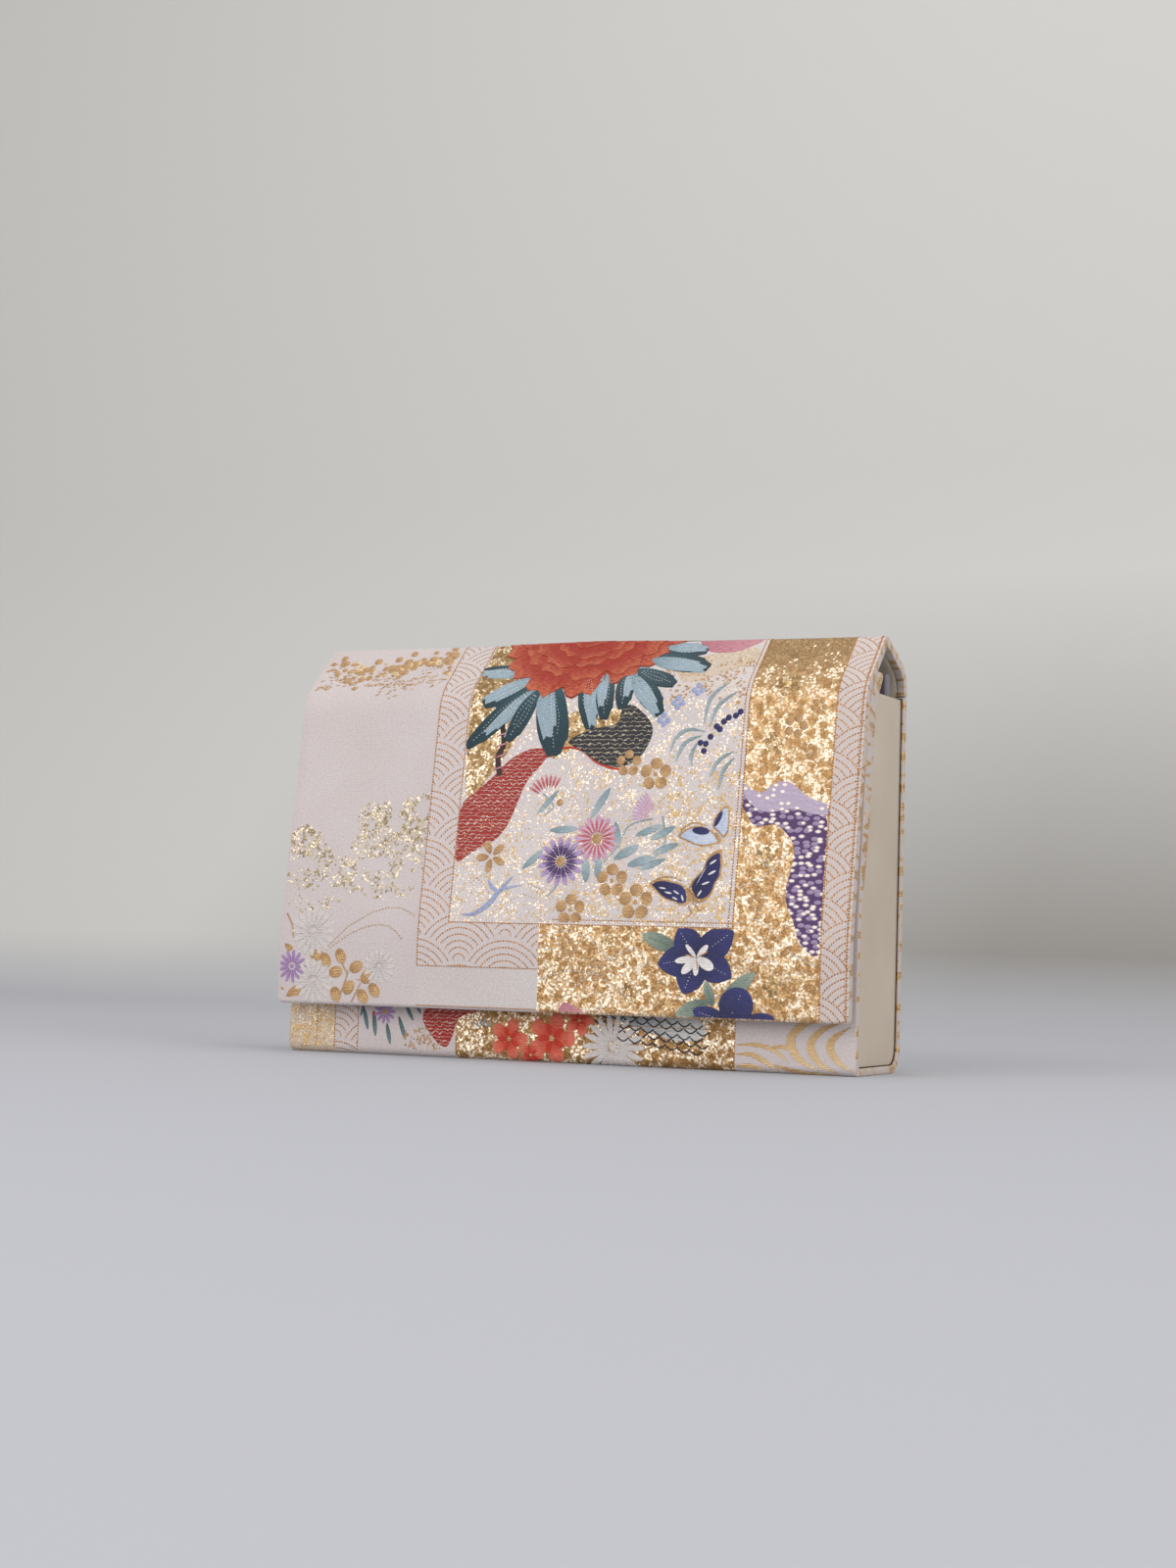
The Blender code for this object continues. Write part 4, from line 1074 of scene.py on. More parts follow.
def layPeony():
    look = peonyLook
    ground = sheetOn("peonyGround")
    ground.field([(-46, -30), (-34, -32), (-20, 20), (-19, 40), (-25, 55), (-31, 64), (-39, 74), (-46, 82)],
                 dullGold, 0.07, 0.15)
    ground.field([(-8, 44), (4, 40), (12, 42), (22, 38), (24, 46), (16, 50), (4, 54), (-4, 62), (-10, 58)],
                 dullGold, 0.07, 0.15)
    ground.field([(40, 16), (60, 8), (75, 6), (75, 16), (66, 22), (56, 26), (46, 30)], richGround, 0.06, 0.15)
    ground.strand([(-30.5, 46), (-29, 54), (-31, 60), (-29.3, 67.5)], 2.4, darkSilk, 0.16)
    for v in (50, 54.5, 59, 64):
        ground.strand([(-32.5, v + 1), (-28, v - 0.6)], 0.6, roseSilk, 0.24)
    ground.lay((-46.0, 75.0, -36, 127))
    leaves = sheetOn("peonyLeaves")
    for index, (root, tip, width, deep) in enumerate(look["leaves"]):
        lift = 0.18 + 0.05 * (index % 4)
        leaves.petal(root, tip, width, leafDeep, lift, 0.25, 1.15, 0.035, 0.4, 22)
        way = Vector(tip) - Vector(root)
        side = Vector((-way.y, way.x)).normalized() * (1 if index % 2 else -1)
        # the lit side of the leaf lies over the dark one and stops short of its tip
        reach = 0.76 if deep else 0.96
        shift = side * width * (0.14 if deep else 0.12)
        leaves.petal(Vector(root) + shift, Vector(root) + way * reach + shift, width * (0.6 if deep else 0.7),
                     leafPale, lift + 0.05, 0.2, 1.1, 0.08, 0.2, 22)
        for share, offset in ((0.9, 0.0), (0.74, 0.24), (0.74, -0.2)):
            start = Vector(root) + way * 0.15 + side * offset * width * 0.3
            middle = Vector(root) + way * 0.5 + side * offset * width
            end = Vector(root) + way * share + side * offset * width * 0.5
            leaves.dashes([start, middle, end], 0.38, whiteSilk, 0.9, 0.6, lift + 0.13)
    leaves.lay((-46.0, 75.0, -36, 127))
    bloom = sheetOn("peonyBloom")
    peony(bloom, look["at"], look["reach"], look["reachUp"], look["rows"], peonySilk, 0.42, 0.15)
    bloom.lay((-46.0, 75.0, -36, 127))
    patch = sheetOn("ridgePatch")
    patch.field([(45, -12), (74.5, -14), (75, 3), (71, 5), (66, 9.5), (58, 10.5), (51, 8.5), (46, 3)], roseSilk,
                0.16)
    patch.field([(33, 2.5), (38, 0.8), (46, -0.2), (50, -1.5), (49, -8), (36, -8)], blackSilk, 0.3)
    patch.lay((-46.0, 75.0, -36, 127))


# Clouds of tied dots
cloudLook = {
    "red": [(-6.0, 56.5), (-16.5, 55.5), (-25.8, 60.4), (-31.1, 66.7), (-40, 74), (-46.8, 79), (-47, 106),
            (-39.5, 99.4), (-28.2, 94.5), (-23.1, 87.3), (-20.1, 78.4), (-17.1, 69.5), (-11.8, 64.1)],
    "redTail": [(-7.5, 59.5), (-3, 56.6), (2.8, 56.0), (8, 58), (13, 61.8), (19, 64.2), (24, 65)],
    "black": [(-1.5, 53.5), (7.8, 48.6), (15, 47.3), (22, 46.4), (21.8, 40.5), (26.5, 37.2), (35.8, 45), (37.4, 50.5),
              (33, 60), (25.5, 64.6), (15.5, 63.6), (8.2, 58.6), (2.7, 55.6)],
    "purple": [(75, 69), (80.6, 72.8), (84.9, 75.2), (87.6, 72.4), (90.9, 70), (96.3, 70), (101, 73.5), (104, 76.6),
               (114, 79), (114, 140), (108.8, 137), (105.8, 134.9), (103.3, 130.9), (101.7, 124.6), (98.8, 120.6),
               (97.2, 113.1), (99, 105.5), (100.3, 97.8), (99.2, 94), (95.8, 90), (92.5, 87.1), (87.8, 87.3),
               (84.4, 88.4), (81.4, 86.8), (79.3, 83), (75, 77)],
    "lavender": [(75, 69), (80.6, 72.8), (84.9, 75.2), (87.6, 72.4), (90.9, 70), (96.3, 70), (101, 73.5),
                 (104, 76.6), (114, 79), (114, 84), (105, 83), (98, 80.5), (91, 82.6), (84, 82), (78, 77)],
}


def layClouds():
    look = cloudLook
    clouds = sheetOn("dottedClouds")
    clouds.field(look["red"], redCloud, 0.16)
    clouds.strand(look["redTail"], 0.9, redSilk, 0.18)
    clouds.field(look["black"], blackCloud, 0.2)
    clouds.lay((-46.0, 75.0, -36, 127))
    band = sheetOn("bandClouds")
    band.field(look["purple"], purpleCloud, 0.16, 0.25, 2, 2)
    band.field(look["lavender"], lavenderCloud, 0.22, 0.25, 2, 2)
    band.lay((77.4, 112.8, -36, 162.6))


# Flowers, grasses and butterflies on the pale panel
panelLook = {
    "blossoms": [((39.5, 67), 4.4), ((27.5, 62.5), 3.6), ((24.5, 110), 4.4), ((35.5, 118.5), 4.8), ((7.5, 122), 4.2)],
    "leaves": [((-2.2, 73.4), (-11, 83.5), 2.6), ((20.5, 72.4), (13, 85), 3.6), ((-4.8, 90), (8, 89.2), 3.4),
               ((-15.5, 106), (-6.8, 98), 3.2), ((13.2, 111), (12.6, 101.5), 4.0), ((17.8, 109), (18.3, 100.5), 3.4),
               ((24.5, 101.5), (35, 95.8), 4.2), ((30.5, 104), (42, 100.4), 4.2), ((24, 86), (26.5, 97), 3.2),
               ((50, 88), (39.5, 93.5), 3.6), ((52, 95), (41, 99), 3.6), ((33, 92), (45, 87.5), 3.6),
               ((47, 101), (36, 105.5), 3.2)],
    "fronds": [[(67, 29), (60.5, 36), (58.4, 47)], [(71.5, 33.5), (64, 39.5), (61, 48.2)],
               [(59.5, 50), (52, 49), (47, 52.5), (45, 58)], [(58, 51.5), (51, 54.5), (47.6, 62)],
               [(72, 58), (66, 61.5), (62.5, 68.5)], [(72.4, 60.5), (68.4, 65.5), (66.6, 73.5)],
               [(56.2, 54.5), (54.2, 59), (54.6, 64)]],
    "navyBits": [(66.9, 45.9), (64.0, 47.9), (68.8, 44.3), (65.4, 49), (59.9, 54.8), (61.7, 52), (57.6, 54.4),
                 (59.3, 57.7), (71.7, 43.6), (73.6, 42.0)],
    "lilacBits": [(54.6, 32.1), (46.7, 37.8), (41.2, 44.8)],
    "wings": [
        ([(41.3, 111.2), (45.4, 109.5), (49.6, 110.3), (53.6, 111), (56.7, 112.9), (57.8, 118.8), (53.8, 118.9),
          (51.4, 117.6), (48.4, 117.1), (45.1, 114.7), (42.9, 112.5)], navySilk),
        ([(58.4, 112.3), (59.7, 109), (63.6, 105.7), (63.9, 101.9), (66.7, 99.2), (70, 98), (69.7, 100.8),
          (70.5, 103.2), (69.9, 106.2), (70.3, 107.8), (68.3, 110), (67.7, 113.2), (66, 116), (61.7, 117.7),
          (59.7, 114.4)], navySilk),
        ([(51.6, 92.2), (54, 90), (56.7, 88.6), (60.1, 88), (64.2, 89.6), (66, 91), (69.1, 94), (66.4, 94.8),
          (61.9, 95.7), (58.4, 94.9), (54.9, 93.3)], paleBlue),
        ([(65.7, 88.3), (66.1, 85.5), (68, 82.2), (71.4, 79.5), (72, 83.3), (72.1, 90.4), (70.1, 92.1),
          (68.7, 89.9)], paleBlue),
    ],
    "wingMarks": [
        ((60.8, 89.8), 3.9, 0.1, 3.4, navySilk), ((67.8, 85), 3.6, -1.15, 2.2, navySilk),
        ((46.6, 112.8), 1.7, 0.15, 0.9, whiteSilk), ((49.2, 114.6), 1.8, 0.2, 1.0, whiteSilk),
        ((52.6, 114.4), 1.7, 0.5, 0.9, whiteSilk), ((52.2, 116.8), 1.4, 0.4, 0.9, whiteSilk),
        ((55.4, 116.6), 1.5, 1.2, 1.0, whiteSilk), ((67, 102.2), 1.9, -0.6, 1.1, whiteSilk),
        ((66.9, 106.4), 2.0, -0.5, 1.2, whiteSilk), ((64.6, 110.6), 1.9, -0.35, 1.1, whiteSilk),
        ((62.4, 114.6), 1.7, -1.0, 1.0, whiteSilk), ((62.6, 107.6), 4.8, -1.1, 0.6, paleBlue),
    ],
}


def layPanel():
    look = panelLook
    flakes = sheetOn("panelFlakes")
    strew(flakes, [(-46, 84), (-20, 88), (0, 66), (40, 64), (76, 30), (76, 127), (-46, 127)], 3000, brightThread, 8,
          (0.32, 0.62))
    strew(flakes, [(36, 20), (76, 14), (76, 40), (56, 34), (44, 40)], 500, goldThread, 9, (0.35, 0.7))
    strew(flakes, [(38, 66), (76, 66), (76, 127), (20, 127), (0, 118), (46, 106)], 1300, brightThread, 12, (0.4, 0.8))
    flakes.lay((-46.0, 75.0, -36, 127))
    flowers = sheetOn("panelFlowers")
    flower(flowers, (1.5, 102.6), 10.2, 15, purpleSilk, 0.2, 1.0, goldThread, 0.2, 0.3, taper=0.5)
    flower(flowers, (16.5, 93.2), 9.6, 12, palePink, 0.25, 1.0, None, 0.2, 0.2, taper=0.4)
    flower(flowers, (16.5, 93.2), 9.2, 19, pinkSilk, 0.25, 0.55, goldThread, 0.24, 0.34, taper=0.1)
    flower(flowers, (43, 84.5), 12.5, 9, palePink, 0.35, 1.15, None, lift=0.22, turn=pi * 0.98, span=1.15, taper=0.3)
    flower(flowers, (-6.5, 77.2), 10.5, 8, pinkSilk, 0.45, 0.9, None, lift=0.22, turn=pi * 1.16, span=1.75, taper=0.4)
    for at, radius in look["blossoms"]:
        blossom(flowers, at, radius, goldThread)
    flowers.dot((-1.2, 78.6), 1.6, goldThread)
    flower(flowers, (-29.7, 100.8), 7.0, 5, goldThread, 0.15, 0.6, None, lift=0.26, turn=0.5, point=1.2)
    for root, tip, width in look["leaves"]:
        flowers.petal(root, tip, width, paleTeal, 0.17, 0.1, 1.3)
    for stem in ([(40, 85), (30, 88), (26, 96), (20, 103)], [(44, 84), (46, 94), (42, 101)], [(1, 112), (-3, 117)],
                 [(-9, 75), (-4, 80), (-8, 84)]):
        flowers.strand(stem, 0.5, paleTeal, 0.14)
    for path in look["fronds"]:
        flowers.strand(path, 1.5, paleTeal, 0.18, 6, True)
    for at in look["navyBits"]:
        flowers.dot(at, 1.35, navySilk, 0.24)
    for at in look["lilacBits"]:
        for turn in (0.2, 1.6, 3.0, 4.6):
            flowers.dot(round_(at, 1.8, turn), 1.35, lilacSilk, 0.2)
    flowers.strand([(-40.5, 124.8), (-35.6, 124.6), (-29, 120.5), (-24, 114.8), (-14.6, 112.4)], 1.9, lilacSilk,
                   0.2, 5, True)
    flowers.strand([(-30.2, 110.6), (-27.5, 114), (-23.5, 115)], 1.5, lilacSilk, 0.2, 5, True)
    flowers.strand([(-25, 116), (-22.4, 112.4), (-19, 108.8)], 1.3, lilacSilk, 0.2, 5, True)
    for arc in ([(-38, 112), (-33, 108.5), (-30, 108)], [(-22, 120), (-14, 116), (-8, 118)],
                [(-12, 112), (-6, 114), (-1, 119)], [(-38, 108), (-32, 112), (-29, 116)]):
        flowers.dashes(arc, 0.4, goldThread, 0.9, 0.5)
    flowers.lay((-46.0, 75.0, -36, 127))
    wings = sheetOn("butterflies")
    for outline, silk in look["wings"]:
        middle = Vector((sum(p[0] for p in outline), sum(p[1] for p in outline))) / len(outline)
        wings.field([middle + (Vector(p) - middle) * 1.16 for p in outline], goldThread, 0.16, 0.2, 1, 1)
        wings.field(outline, silk, 0.24, 0.2, 1, 1)
    for at, reach, turn, width, silk in look["wingMarks"]:
        way = Vector((cos(turn), sin(turn))) * reach
        wings.petal(Vector(at) - way, Vector(at) + way, width, silk, 0.32, 0.0, rim=0.15, sides=10)
    for path, width in (([(57.2, 112.6), (58.6, 116), (60.4, 119.4)], 1.7), ([(67, 90.4), (68, 92.4), (69.4, 94)], 1.6)):
        wings.strand(path, width, goldThread, 0.36, 5, True)
    for path in ([(58, 119.5), (59.4, 122.4), (57.6, 124.4)], [(61, 118.8), (62.8, 121.4), (65, 119.8)],
                 [(43.4, 109.2), (49, 108.2), (54.6, 109.8)], [(52, 90), (57, 86.6), (63, 87.6)]):
        wings.strand(path, 0.5, goldThread, 0.16)
    wings.lay((-46.0, 75.0, -36, 127))


# Bellflowers and leaves on the gold ground at the flap's foot, and faint blossoms down the gold band
bellLook = {
    "tips": [(54.5, 128.4), (77.8, 129), (46.2, 142.8), (77.4, 147), (57.4, 154)], "at": (62.8, 139.8),
    "lowTips": [((76, 164), (61.4, 160), 7.5), ((76, 165), (82.6, 150.8), 15.0), ((82, 164), (95.5, 162.4), 6.5)],
    "leaves": [((55, 136.8), (39.4, 131.2), 7.0), ((71.8, 158), (87, 144.6), 6.4), ((68.2, 156.4), (54.2, 162.6), 6.6),
               ((69.8, 158.5), (66.6, 148.6), 4.6)],
    "outlines": [((97, 48), 5.2), ((88, 55), 4.2), ((104, 58), 3.2), ((92, 30), 6.0), ((106, 40), 3.6),
                 ((88, 100), 4.5), ((86, 118), 4.0), ((94, 150), 4.4), ((20, 146), 4.6), ((34, 154), 4.0),
                 ((8, 137), 4.0), ((26, 134), 3.4)],
    "ribbons": [[(78, 92), (84, 97), (90, 104), (97, 108)], [(78, 112), (85, 110), (92, 104), (98, 98)],
                [(78, 126), (86, 124), (93, 128), (101, 137), (112, 142)], [(80, 147), (88, 141), (96, 140)],
                [(-5, 133), (6, 130), (16, 133), (26, 141), (38, 146)], [(-5, 150), (8, 146), (20, 147), (34, 156)],
                [(2, 161), (12, 152), (24, 141), (38, 136)]],
}


def layBells():
    look = bellLook
    bells = sheetOn("bellflowers")
    for root, tip, width in look["leaves"]:
        bells.petal(root, tip, width, sageSilk, 0.2, 0.1, 1.35, 0.0, 0.3, 20)
        bells.dashes([Vector(root).lerp(Vector(tip), 0.15), Vector(root).lerp(Vector(tip), 0.85)], 0.35, blackSilk,
                     0.8, 0.5, 0.27)
    for root, tip, width in look["lowTips"]:
        bells.petal(root, tip, width, navySilk, 0.28, 0.1, 1.2, 0.0, 0.3, 20)
        bells.dashes([Vector(root).lerp(Vector(tip), 0.3), Vector(root).lerp(Vector(tip), 0.85)], 0.4, whiteSilk,
                     0.7, 0.7, 0.36)
    for tip in look["tips"]:
        root = Vector(look["at"])
        bells.petal(root - (Vector(tip) - root) * 0.06, tip, 12.2, navySilk, 0.3, 0.0, 1.75, 0.0, 0.3, 26)
        bells.dashes([root.lerp(Vector(tip), 0.42), root.lerp(Vector(tip), 0.88)], 0.42, whiteSilk, 0.7, 0.7, 0.38)
    for tip, width in (((53.5, 141.4), 3.4), ((56.6, 146.2), 4.2), ((70, 144), 5.2), ((67.5, 134.6), 3.0),
                       ((58, 134.6), 2.4), ((62.4, 147), 3.2)):
        bells.petal(look["at"], tip, width, whiteSilk, 0.42, 0.2, 1.1)
    for tip in ((57.8, 138.6), (67.8, 137), (63.5, 144.8)):
        bells.petal(look["at"], tip, 1.1, goldThread, 0.5, 0.2)
    bells.field([(2.5, 164), (5.6, 158.8), (8, 158.6), (12, 160.8), (18, 164)], roseSilk, 0.2, 0.25, 1, 1)
    bells.lay((-5.3, 112.8, 128.4, 162.6))
    faint = sheetOn("foilBlossoms")
    for index, (at, radius) in enumerate(look["outlines"]):
        for petal in range(5):
            middle = round_(at, radius * 0.62, index + 2 * pi * petal / 5)
            faint.dot(middle, radius * 0.36, dullGold if index % 2 else goldThread, 0.1, sides=12)
        faint.dot(at, radius * 0.2, brightThread, 0.13)
    for path in look["ribbons"]:
        faint.dashes(path, 0.7, reliefSilk, 1.6, 0.5, 0.12)
    faint.lay((-5.3, 112.8, -36, 162.6))


layLeftSide()
layLines()
layPeony()
layClouds()
layPanel()
layBells()
print("flap motifs laid")

# Body front: what shows below the flap's lip, repeated in plainer form up to the mouth
bodyMotifLook = {
    "leaves": [((-89.5, 141), (-87.2, 150.5), 2.2), ((-84.8, 142), (-83.6, 153), 2.4), ((-78.5, 147), (-76.5, 156), 2.2),
               ((-73.0, 144), (-69.4, 154), 2.2), ((-70, 139), (-66, 146), 2.0), ((-65.6, 138), (-62.6, 143), 1.8),
               ((-74, 138), (-66, 137), 1.8), ((-89, 138.5), (-91, 145), 1.6)],
    "red": [(-62.5, 145), (-60, 138), (-58, 120), (-40, 118), (-20, 130), (-8, 137), (-12, 141), (-24, 139.5),
            (-38, 141), (-46, 144), (-47, 150), (-50, 157), (-55, 154.5), (-59, 150)],
    "grey": [(16, 128), (30, 130), (48, 136), (60, 140), (64, 144), (62, 149), (52, 150), (40, 147), (28, 143), (14, 140)],
}


def layBody():
    look = bodyMotifLook
    front = sheetOn("bodyFrontMotifs", bodyLine, "bag")
    for root, tip, width in look["leaves"]:
        front.petal(root, tip, width, grassSilk, 0.14, 0.1, 1.2)
    flower(front, (-79.5, 142.5), 5.2, 11, mauveSilk, 0.2, 0.8, goldThread, 0.22, 0.16)
    front.dot((-84.6, 143.6), 0.9, redSilk)
    front.field(look["red"], redCloud, 0.1)
    front.field(look["grey"], greySilk, 0.1)
    for row in range(5):
        for index in range(9):
            at = (18 + index * 5.2 + 2.6 * (row % 2), 137.5 + row * 2.5 + index * 0.7)
            front.strand([(at[0] - 2.6, at[1]), (at[0], at[1] + 1.5), (at[0] + 2.6, at[1])], 0.55, blackSilk, 0.18)
    for at, radius in (((-22, 151.5), 8.5), ((-3, 150.5), 10.5), ((9, 143), 6.5), ((-12, 157.5), 6.0)):
        flower(front, at, radius, 5, orangeSilk, 0.1, 0.95, goldThread, 0.14, 0.14, taper=0.6)
        flower(front, at, radius * 0.6, 5, redSilk, 0.1, 0.6, None, lift=0.22, turn=0.6)
    flower(front, (24, 153), 13.5, 18, reliefSilk, 0.14, 0.9, reliefSilk, 0.14, 0.2)
    flower(front, (-34, 148), 5.0, 4, leafPale, 0.2, 0.5, None, lift=0.14, turn=-2.6, span=2.6)
    front.dashes([(-46, 144.5), (75, 144.5)], 0.55, fieldThread, 1.0, 0.2, 0.2)
    for u in (-111.5, -103, -92, 75.5):
        front.dashes([(u, 6), (u, 80), (u, 158)], 0.6, fieldThread, 1.0, 0.2)
    front.lay((-124.3, 124.3, 3, 160.5))
    back = sheetOn("backLines", bodyLine, "bag")
    for u in [flapLook[k] for k in ("leftLine", "panelLeft", "panelRight", "bandRight")] + [123.7]:
        back.dashes([(u, 206), (u, 230), (u, 290), (u, 358)], 0.7, fieldThread, 1.0, 0.2)
    back.lay((-124.3, 124.3, 205, 358.4))
    waves = sheetOn("bodyGoldWaves", bodyLine, "bag")
    for width, path in ((3.6, [(118, 137.5), (106, 140), (99.5, 145), (99, 150), (103, 155), (110, 158.5)]),
                        (3.2, [(121, 139), (112, 142.5), (107, 147.5), (107.5, 152), (111.5, 156.5), (118, 159.5)]),
                        (3.0, [(122.5, 141.5), (116.5, 145.5), (114.5, 149.5), (117.5, 154.5), (123, 158)])):
        waves.strand(path, width, goldenThread, 0.12, 6, True)
    for width, path in ((1.8, [(76, 150), (84, 149.6), (92, 151.5), (98, 156)]),
                        (2.0, [(76, 153.5), (83, 153.6), (90, 157), (94, 160)]),
                        (1.8, [(90, 150.6), (96, 150), (101, 152)]), (2.0, [(76, 158.2), (83, 158), (88, 160)]),
                        (2.2, [(92, 157), (104, 160), (118, 160.4)])):
        waves.strand(path, width, goldenThread, 0.12, 6, True)
    for rise in (26, 58, 92, 124):
        for index, reach in enumerate((9.5, 7.0, 4.5)):
            arc = [(104 + reach * cos(a / 6 * pi), rise - reach * sin(a / 6 * pi)) for a in range(7)]
            waves.strand(arc, 1.5, goldenThread, 0.1, 4, True)
    waves.lay((75.8, 124.3, 3, 161.5))
    low = sheetOn("bodyFlakes", bodyLine, "bag")
    strew(low, [(-70, 150), (-58, 146), (-52, 158), (-70, 158)], 120, goldThread, 21, (0.35, 0.7))
    strew(low, [(-124, 136), (-103, 136), (-103, 158), (-124, 158)], 420, brightThread, 22, (0.35, 0.65))
    low.lay((-124.3, 124.3, 3, 158.0))


layBody()
print("body motifs laid")

# Two bands of cloth carry the fold across the hinge: the brocade outside, the lining inside
foldLook = {
    "outside": {"y": 55.06, "wide": 124.4, "rows": [149.4, 149.9], "start": 150.1, "end": 150.9, "steps": 8,
                "last": [151.1, 151.5]},
    "inside": {"y": 50.8, "wide": 121.6, "rows": [147.5, 149.0, 150.0], "start": 150.2, "end": 150.8, "steps": 12,
               "last": [151.0, 152.0, 153.0]},
}


def layFold(name, look, materials, facing, fieldsAt=None):
    bm = bmesh.new()
    cloth = bm.loops.layers.uv.new("cloth")
    places = [-look["wide"]] + sorted(fieldsAt or []) + [look["wide"]]
    verts = [bm.verts.new((u * mm, (look["y"] - midY) * mm, look["rows"][0] * mm)) for u in places]
    edges = [bm.edges.new(pair) for pair in zip(verts, verts[1:])]
    span = look["end"] - look["start"]
    rows = look["rows"] + [look["start"] + span * k / look["steps"] for k in range(look["steps"] + 1)] + look["last"]
    for below, here in zip(rows, rows[1:]):
        pushed = bmesh.ops.extrude_edge_only(bm, edges=edges)["geom"]
        edges = [g for g in pushed if isinstance(g, bmesh.types.BMEdge)]
        fresh = [g for g in pushed if isinstance(g, bmesh.types.BMVert)]
        bmesh.ops.translate(bm, verts=fresh, vec=(0, 0, (here - below) * mm))
        edges = [e for e in edges if all(v in fresh for v in e.verts)]
    bm.normal_update()
    bmesh.ops.reverse_faces(bm, faces=[f for f in bm.faces if f.normal.y * facing < 0])
    for face in bm.faces:
        middle = face.calc_center_median().x / mm
        face.material_index = sum(middle > u for u in fieldsAt or [])
        for loop in face.loops:
            loop[cloth].uv = (loop.vert.co.x / mm, bodyLine.lengths[-1] + loop.vert.co.z / mm - 150.35)
    made = finishPiece(bm, name, None, materials)
    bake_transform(made)
    return made


foldCloth = layFold("foldCloth", foldLook["outside"], [paleSatin, waveSilk, goldenGround, shadedBackGold, waveSilkRight],
                    1, [flapLook[k] for k in ("leftLine", "panelLeft", "panelRight", "bandRight")])
foldLining = layFold("foldLining", foldLook["inside"], [creamSatin], -1)
print("fold bands laid")

# Floor and soft backdrop in one sweep; the wall's foot is painted darker towards the right as painted shade
stageLook = {
    "floor": "#b8b9c0", "wall": "#d5d4d1", "wallLowLeft": "#d3d2cf", "wallLowRightShade": "#969390",
    "wallAt": 1.05, "sweep": 0.45,
}


def makeStage():
    bm = bmesh.new()
    start = [bm.verts.new((-2.6, -2.6, 0)), bm.verts.new((2.6, -2.6, 0))]
    edge = bm.edges.new(start)
    look = stageLook
    steps = [(look["wallAt"] - look["sweep"], 0)]
    for step in range(1, 13):
        turn = pi / 2 * step / 12
        steps.append((look["wallAt"] - look["sweep"] + look["sweep"] * sin(turn),
                      look["sweep"] * (1 - cos(turn))))
    steps.append((look["wallAt"], 2.2))
    here = (-2.6, 0)
    for spot in steps:
        pushed = bmesh.ops.extrude_edge_only(bm, edges=[edge])["geom"]
        edge = [g for g in pushed if isinstance(g, bmesh.types.BMEdge)][0]
        bmesh.ops.translate(bm, verts=list(edge.verts), vec=(0, spot[0] - here[0], spot[1] - here[1]))
        here = spot
    bmesh.ops.recalc_face_normals(bm, faces=bm.faces[:])
    made, tree, shader = startMaterial("paleStudioPaper", 0.8, 0.0, Specular_IOR_Level=0.2)
    parts = add(tree, "SeparateXYZ", {0: add(tree, "TexCoord").outputs["Object"]})
    height = parts.outputs[2]
    low = mixColour(tree, between(tree, parts.outputs[0], -0.75, -0.05), fromHex(look["wallLowLeft"]),
                    fromHex(look["wallLowRightShade"]))
    wall = mixColour(tree, between(tree, height, 0.05, 0.36), low, fromHex(look["wall"]))
    tree.links.new(mixColour(tree, between(tree, height, 0.0, 0.05), fromHex(look["floor"]), wall),
                   shader.inputs["Base Color"])
    sweep = finishPiece(bm, "paperSweep", None, [made], radians(60))
    return sweep


makeStage()


# Camera from the photograph's perspective: x 600 and y 800 are the middle of its 1200 by 1600 frame
cameraLook = {"focalPixels": 2600, "yaw": 24.58, "pitch": 3.72, "roll": 1.59, "place": (0.4342, -0.9502, 0.0455)}


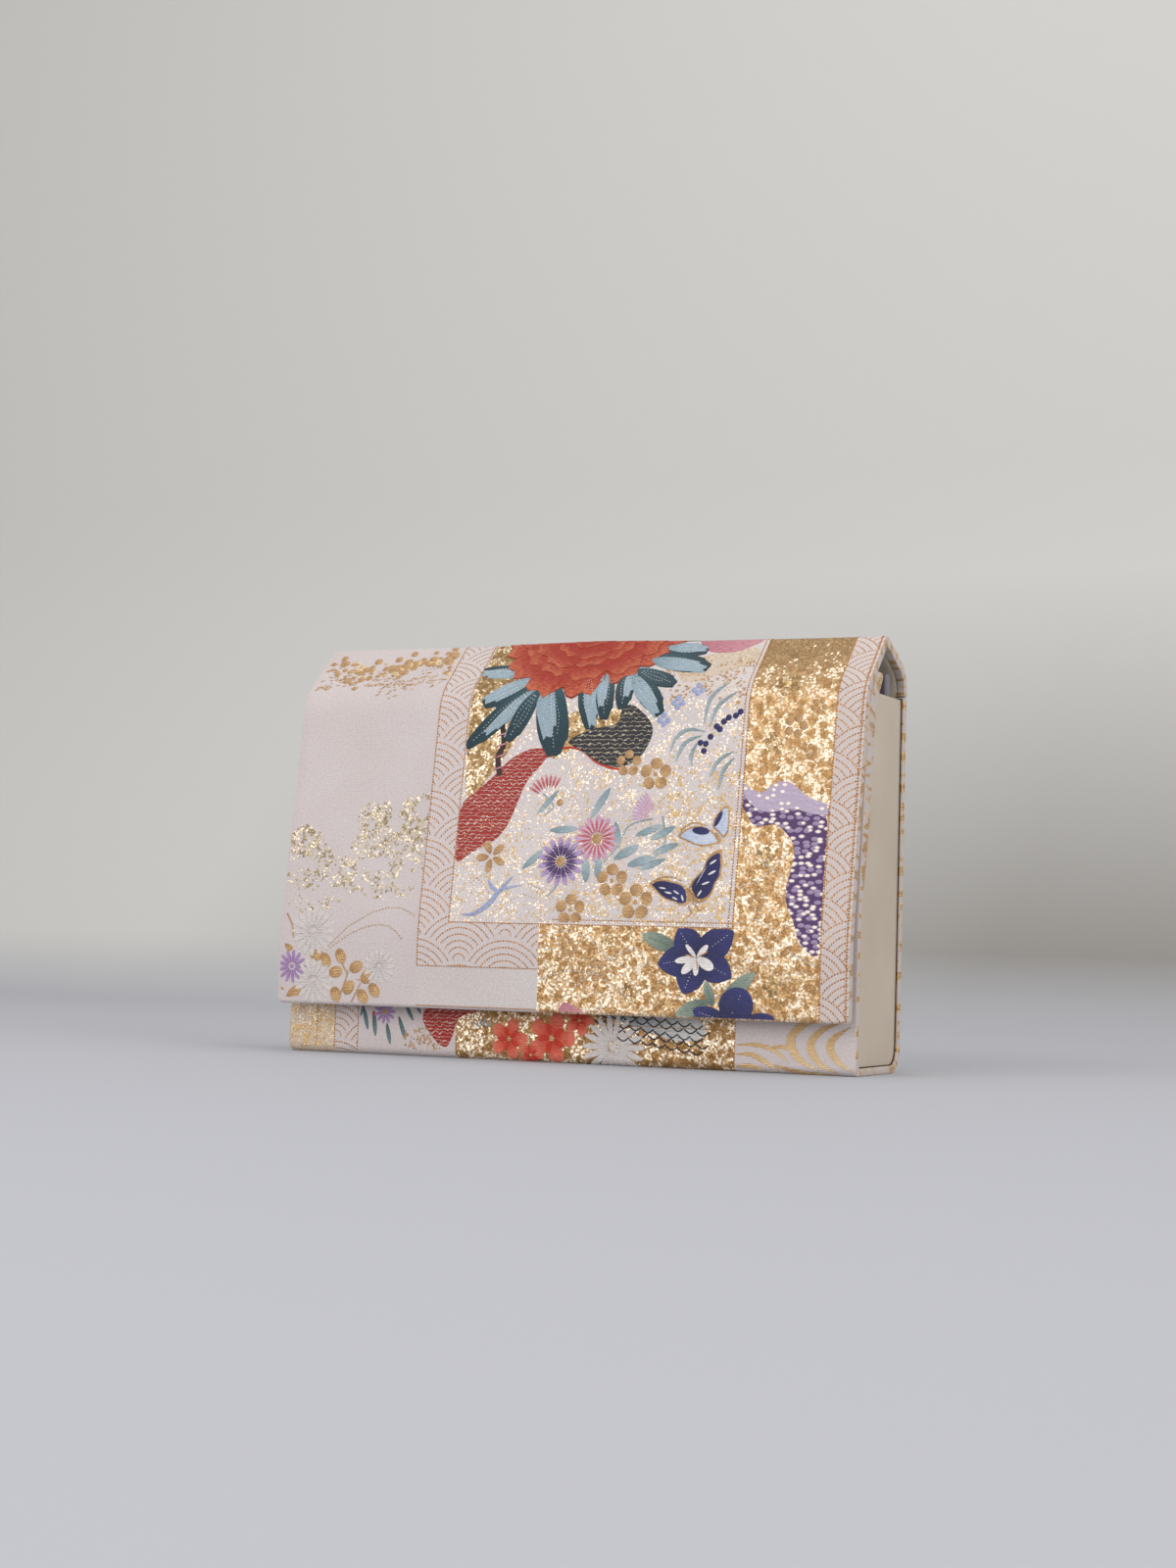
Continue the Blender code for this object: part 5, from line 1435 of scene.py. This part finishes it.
def makeCamera():
    look = cameraLook
    yaw, pitch, roll = (radians(look[k]) for k in ("yaw", "pitch", "roll"))
    forward = Vector((-sin(yaw) * cos(pitch), cos(yaw) * cos(pitch), sin(pitch)))
    right = Vector((cos(yaw), sin(yaw), 0))
    up = right.cross(forward)
    turnedRight = right * cos(roll) + up * sin(roll)
    turnedUp = up * cos(roll) - right * sin(roll)
    data = bpy.data.cameras.new("camera")
    data.sensor_width = 36.0
    data.lens = 36.0 * look["focalPixels"] / 1600
    made = bpy.data.objects.new("camera", data)
    bpy.context.scene.collection.objects.link(made)
    axes = Matrix((turnedRight, turnedUp, -forward)).transposed().to_4x4()
    made.matrix_world = Matrix.Translation(Vector(look["place"])) @ axes
    data.clip_start = 0.01
    bpy.context.scene.camera = made


makeCamera()

lightLook = {
    "world": 0.62, "seen": "#c9c8c5",
    "lamps": [("keyLight", (-0.5, -1.5, 0.8), 1.2, 12.0), ("fillLight", (1.6, -0.7, 0.6), 1.2, 10.5),
              ("topLight", (0.1, 0.2, 1.7), 0.9, 5.5)],
}


def makeLights():
    scene = bpy.context.scene
    scene.view_settings.view_transform = "Standard"
    world = bpy.data.worlds.new("softRoom")
    scene.world = world
    world.use_nodes = True
    tree = world.node_tree
    tree.nodes.clear()
    path = add(tree, "LightPath")
    seen = add(tree, "Math", {0: path.outputs["Is Camera Ray"], 1: path.outputs["Is Glossy Ray"]},
               operation="ADD").outputs[0]
    seen = add(tree, "Math", {0: seen, 1: path.outputs["Is Transmission Ray"]}, operation="ADD",
               use_clamp=True).outputs[0]
    light = add(tree, "Background", {0: (1.0, 0.99, 0.97, 1.0), 1: lightLook["world"]}).outputs[0]
    view = add(tree, "Background", {0: fromHex(lightLook["seen"]), 1: 1.0}).outputs[0]
    mixed = add(tree, "MixShader", {0: seen, 1: light, 2: view}).outputs[0]
    add(tree, "OutputWorld", {0: mixed})
    for name, place, size, power in lightLook["lamps"]:
        data = bpy.data.lights.new(name, "AREA")
        data.size, data.energy = size, power
        made = bpy.data.objects.new(name, data)
        made.location = place
        made.rotation_mode = "QUATERNION"
        made.rotation_quaternion = (Vector((0, 0, 0.08)) - made.location).to_track_quat("-Z", "Y")
        made.visible_camera = False
        scene.collection.objects.link(made)


makeLights()
print("camera and lights set")
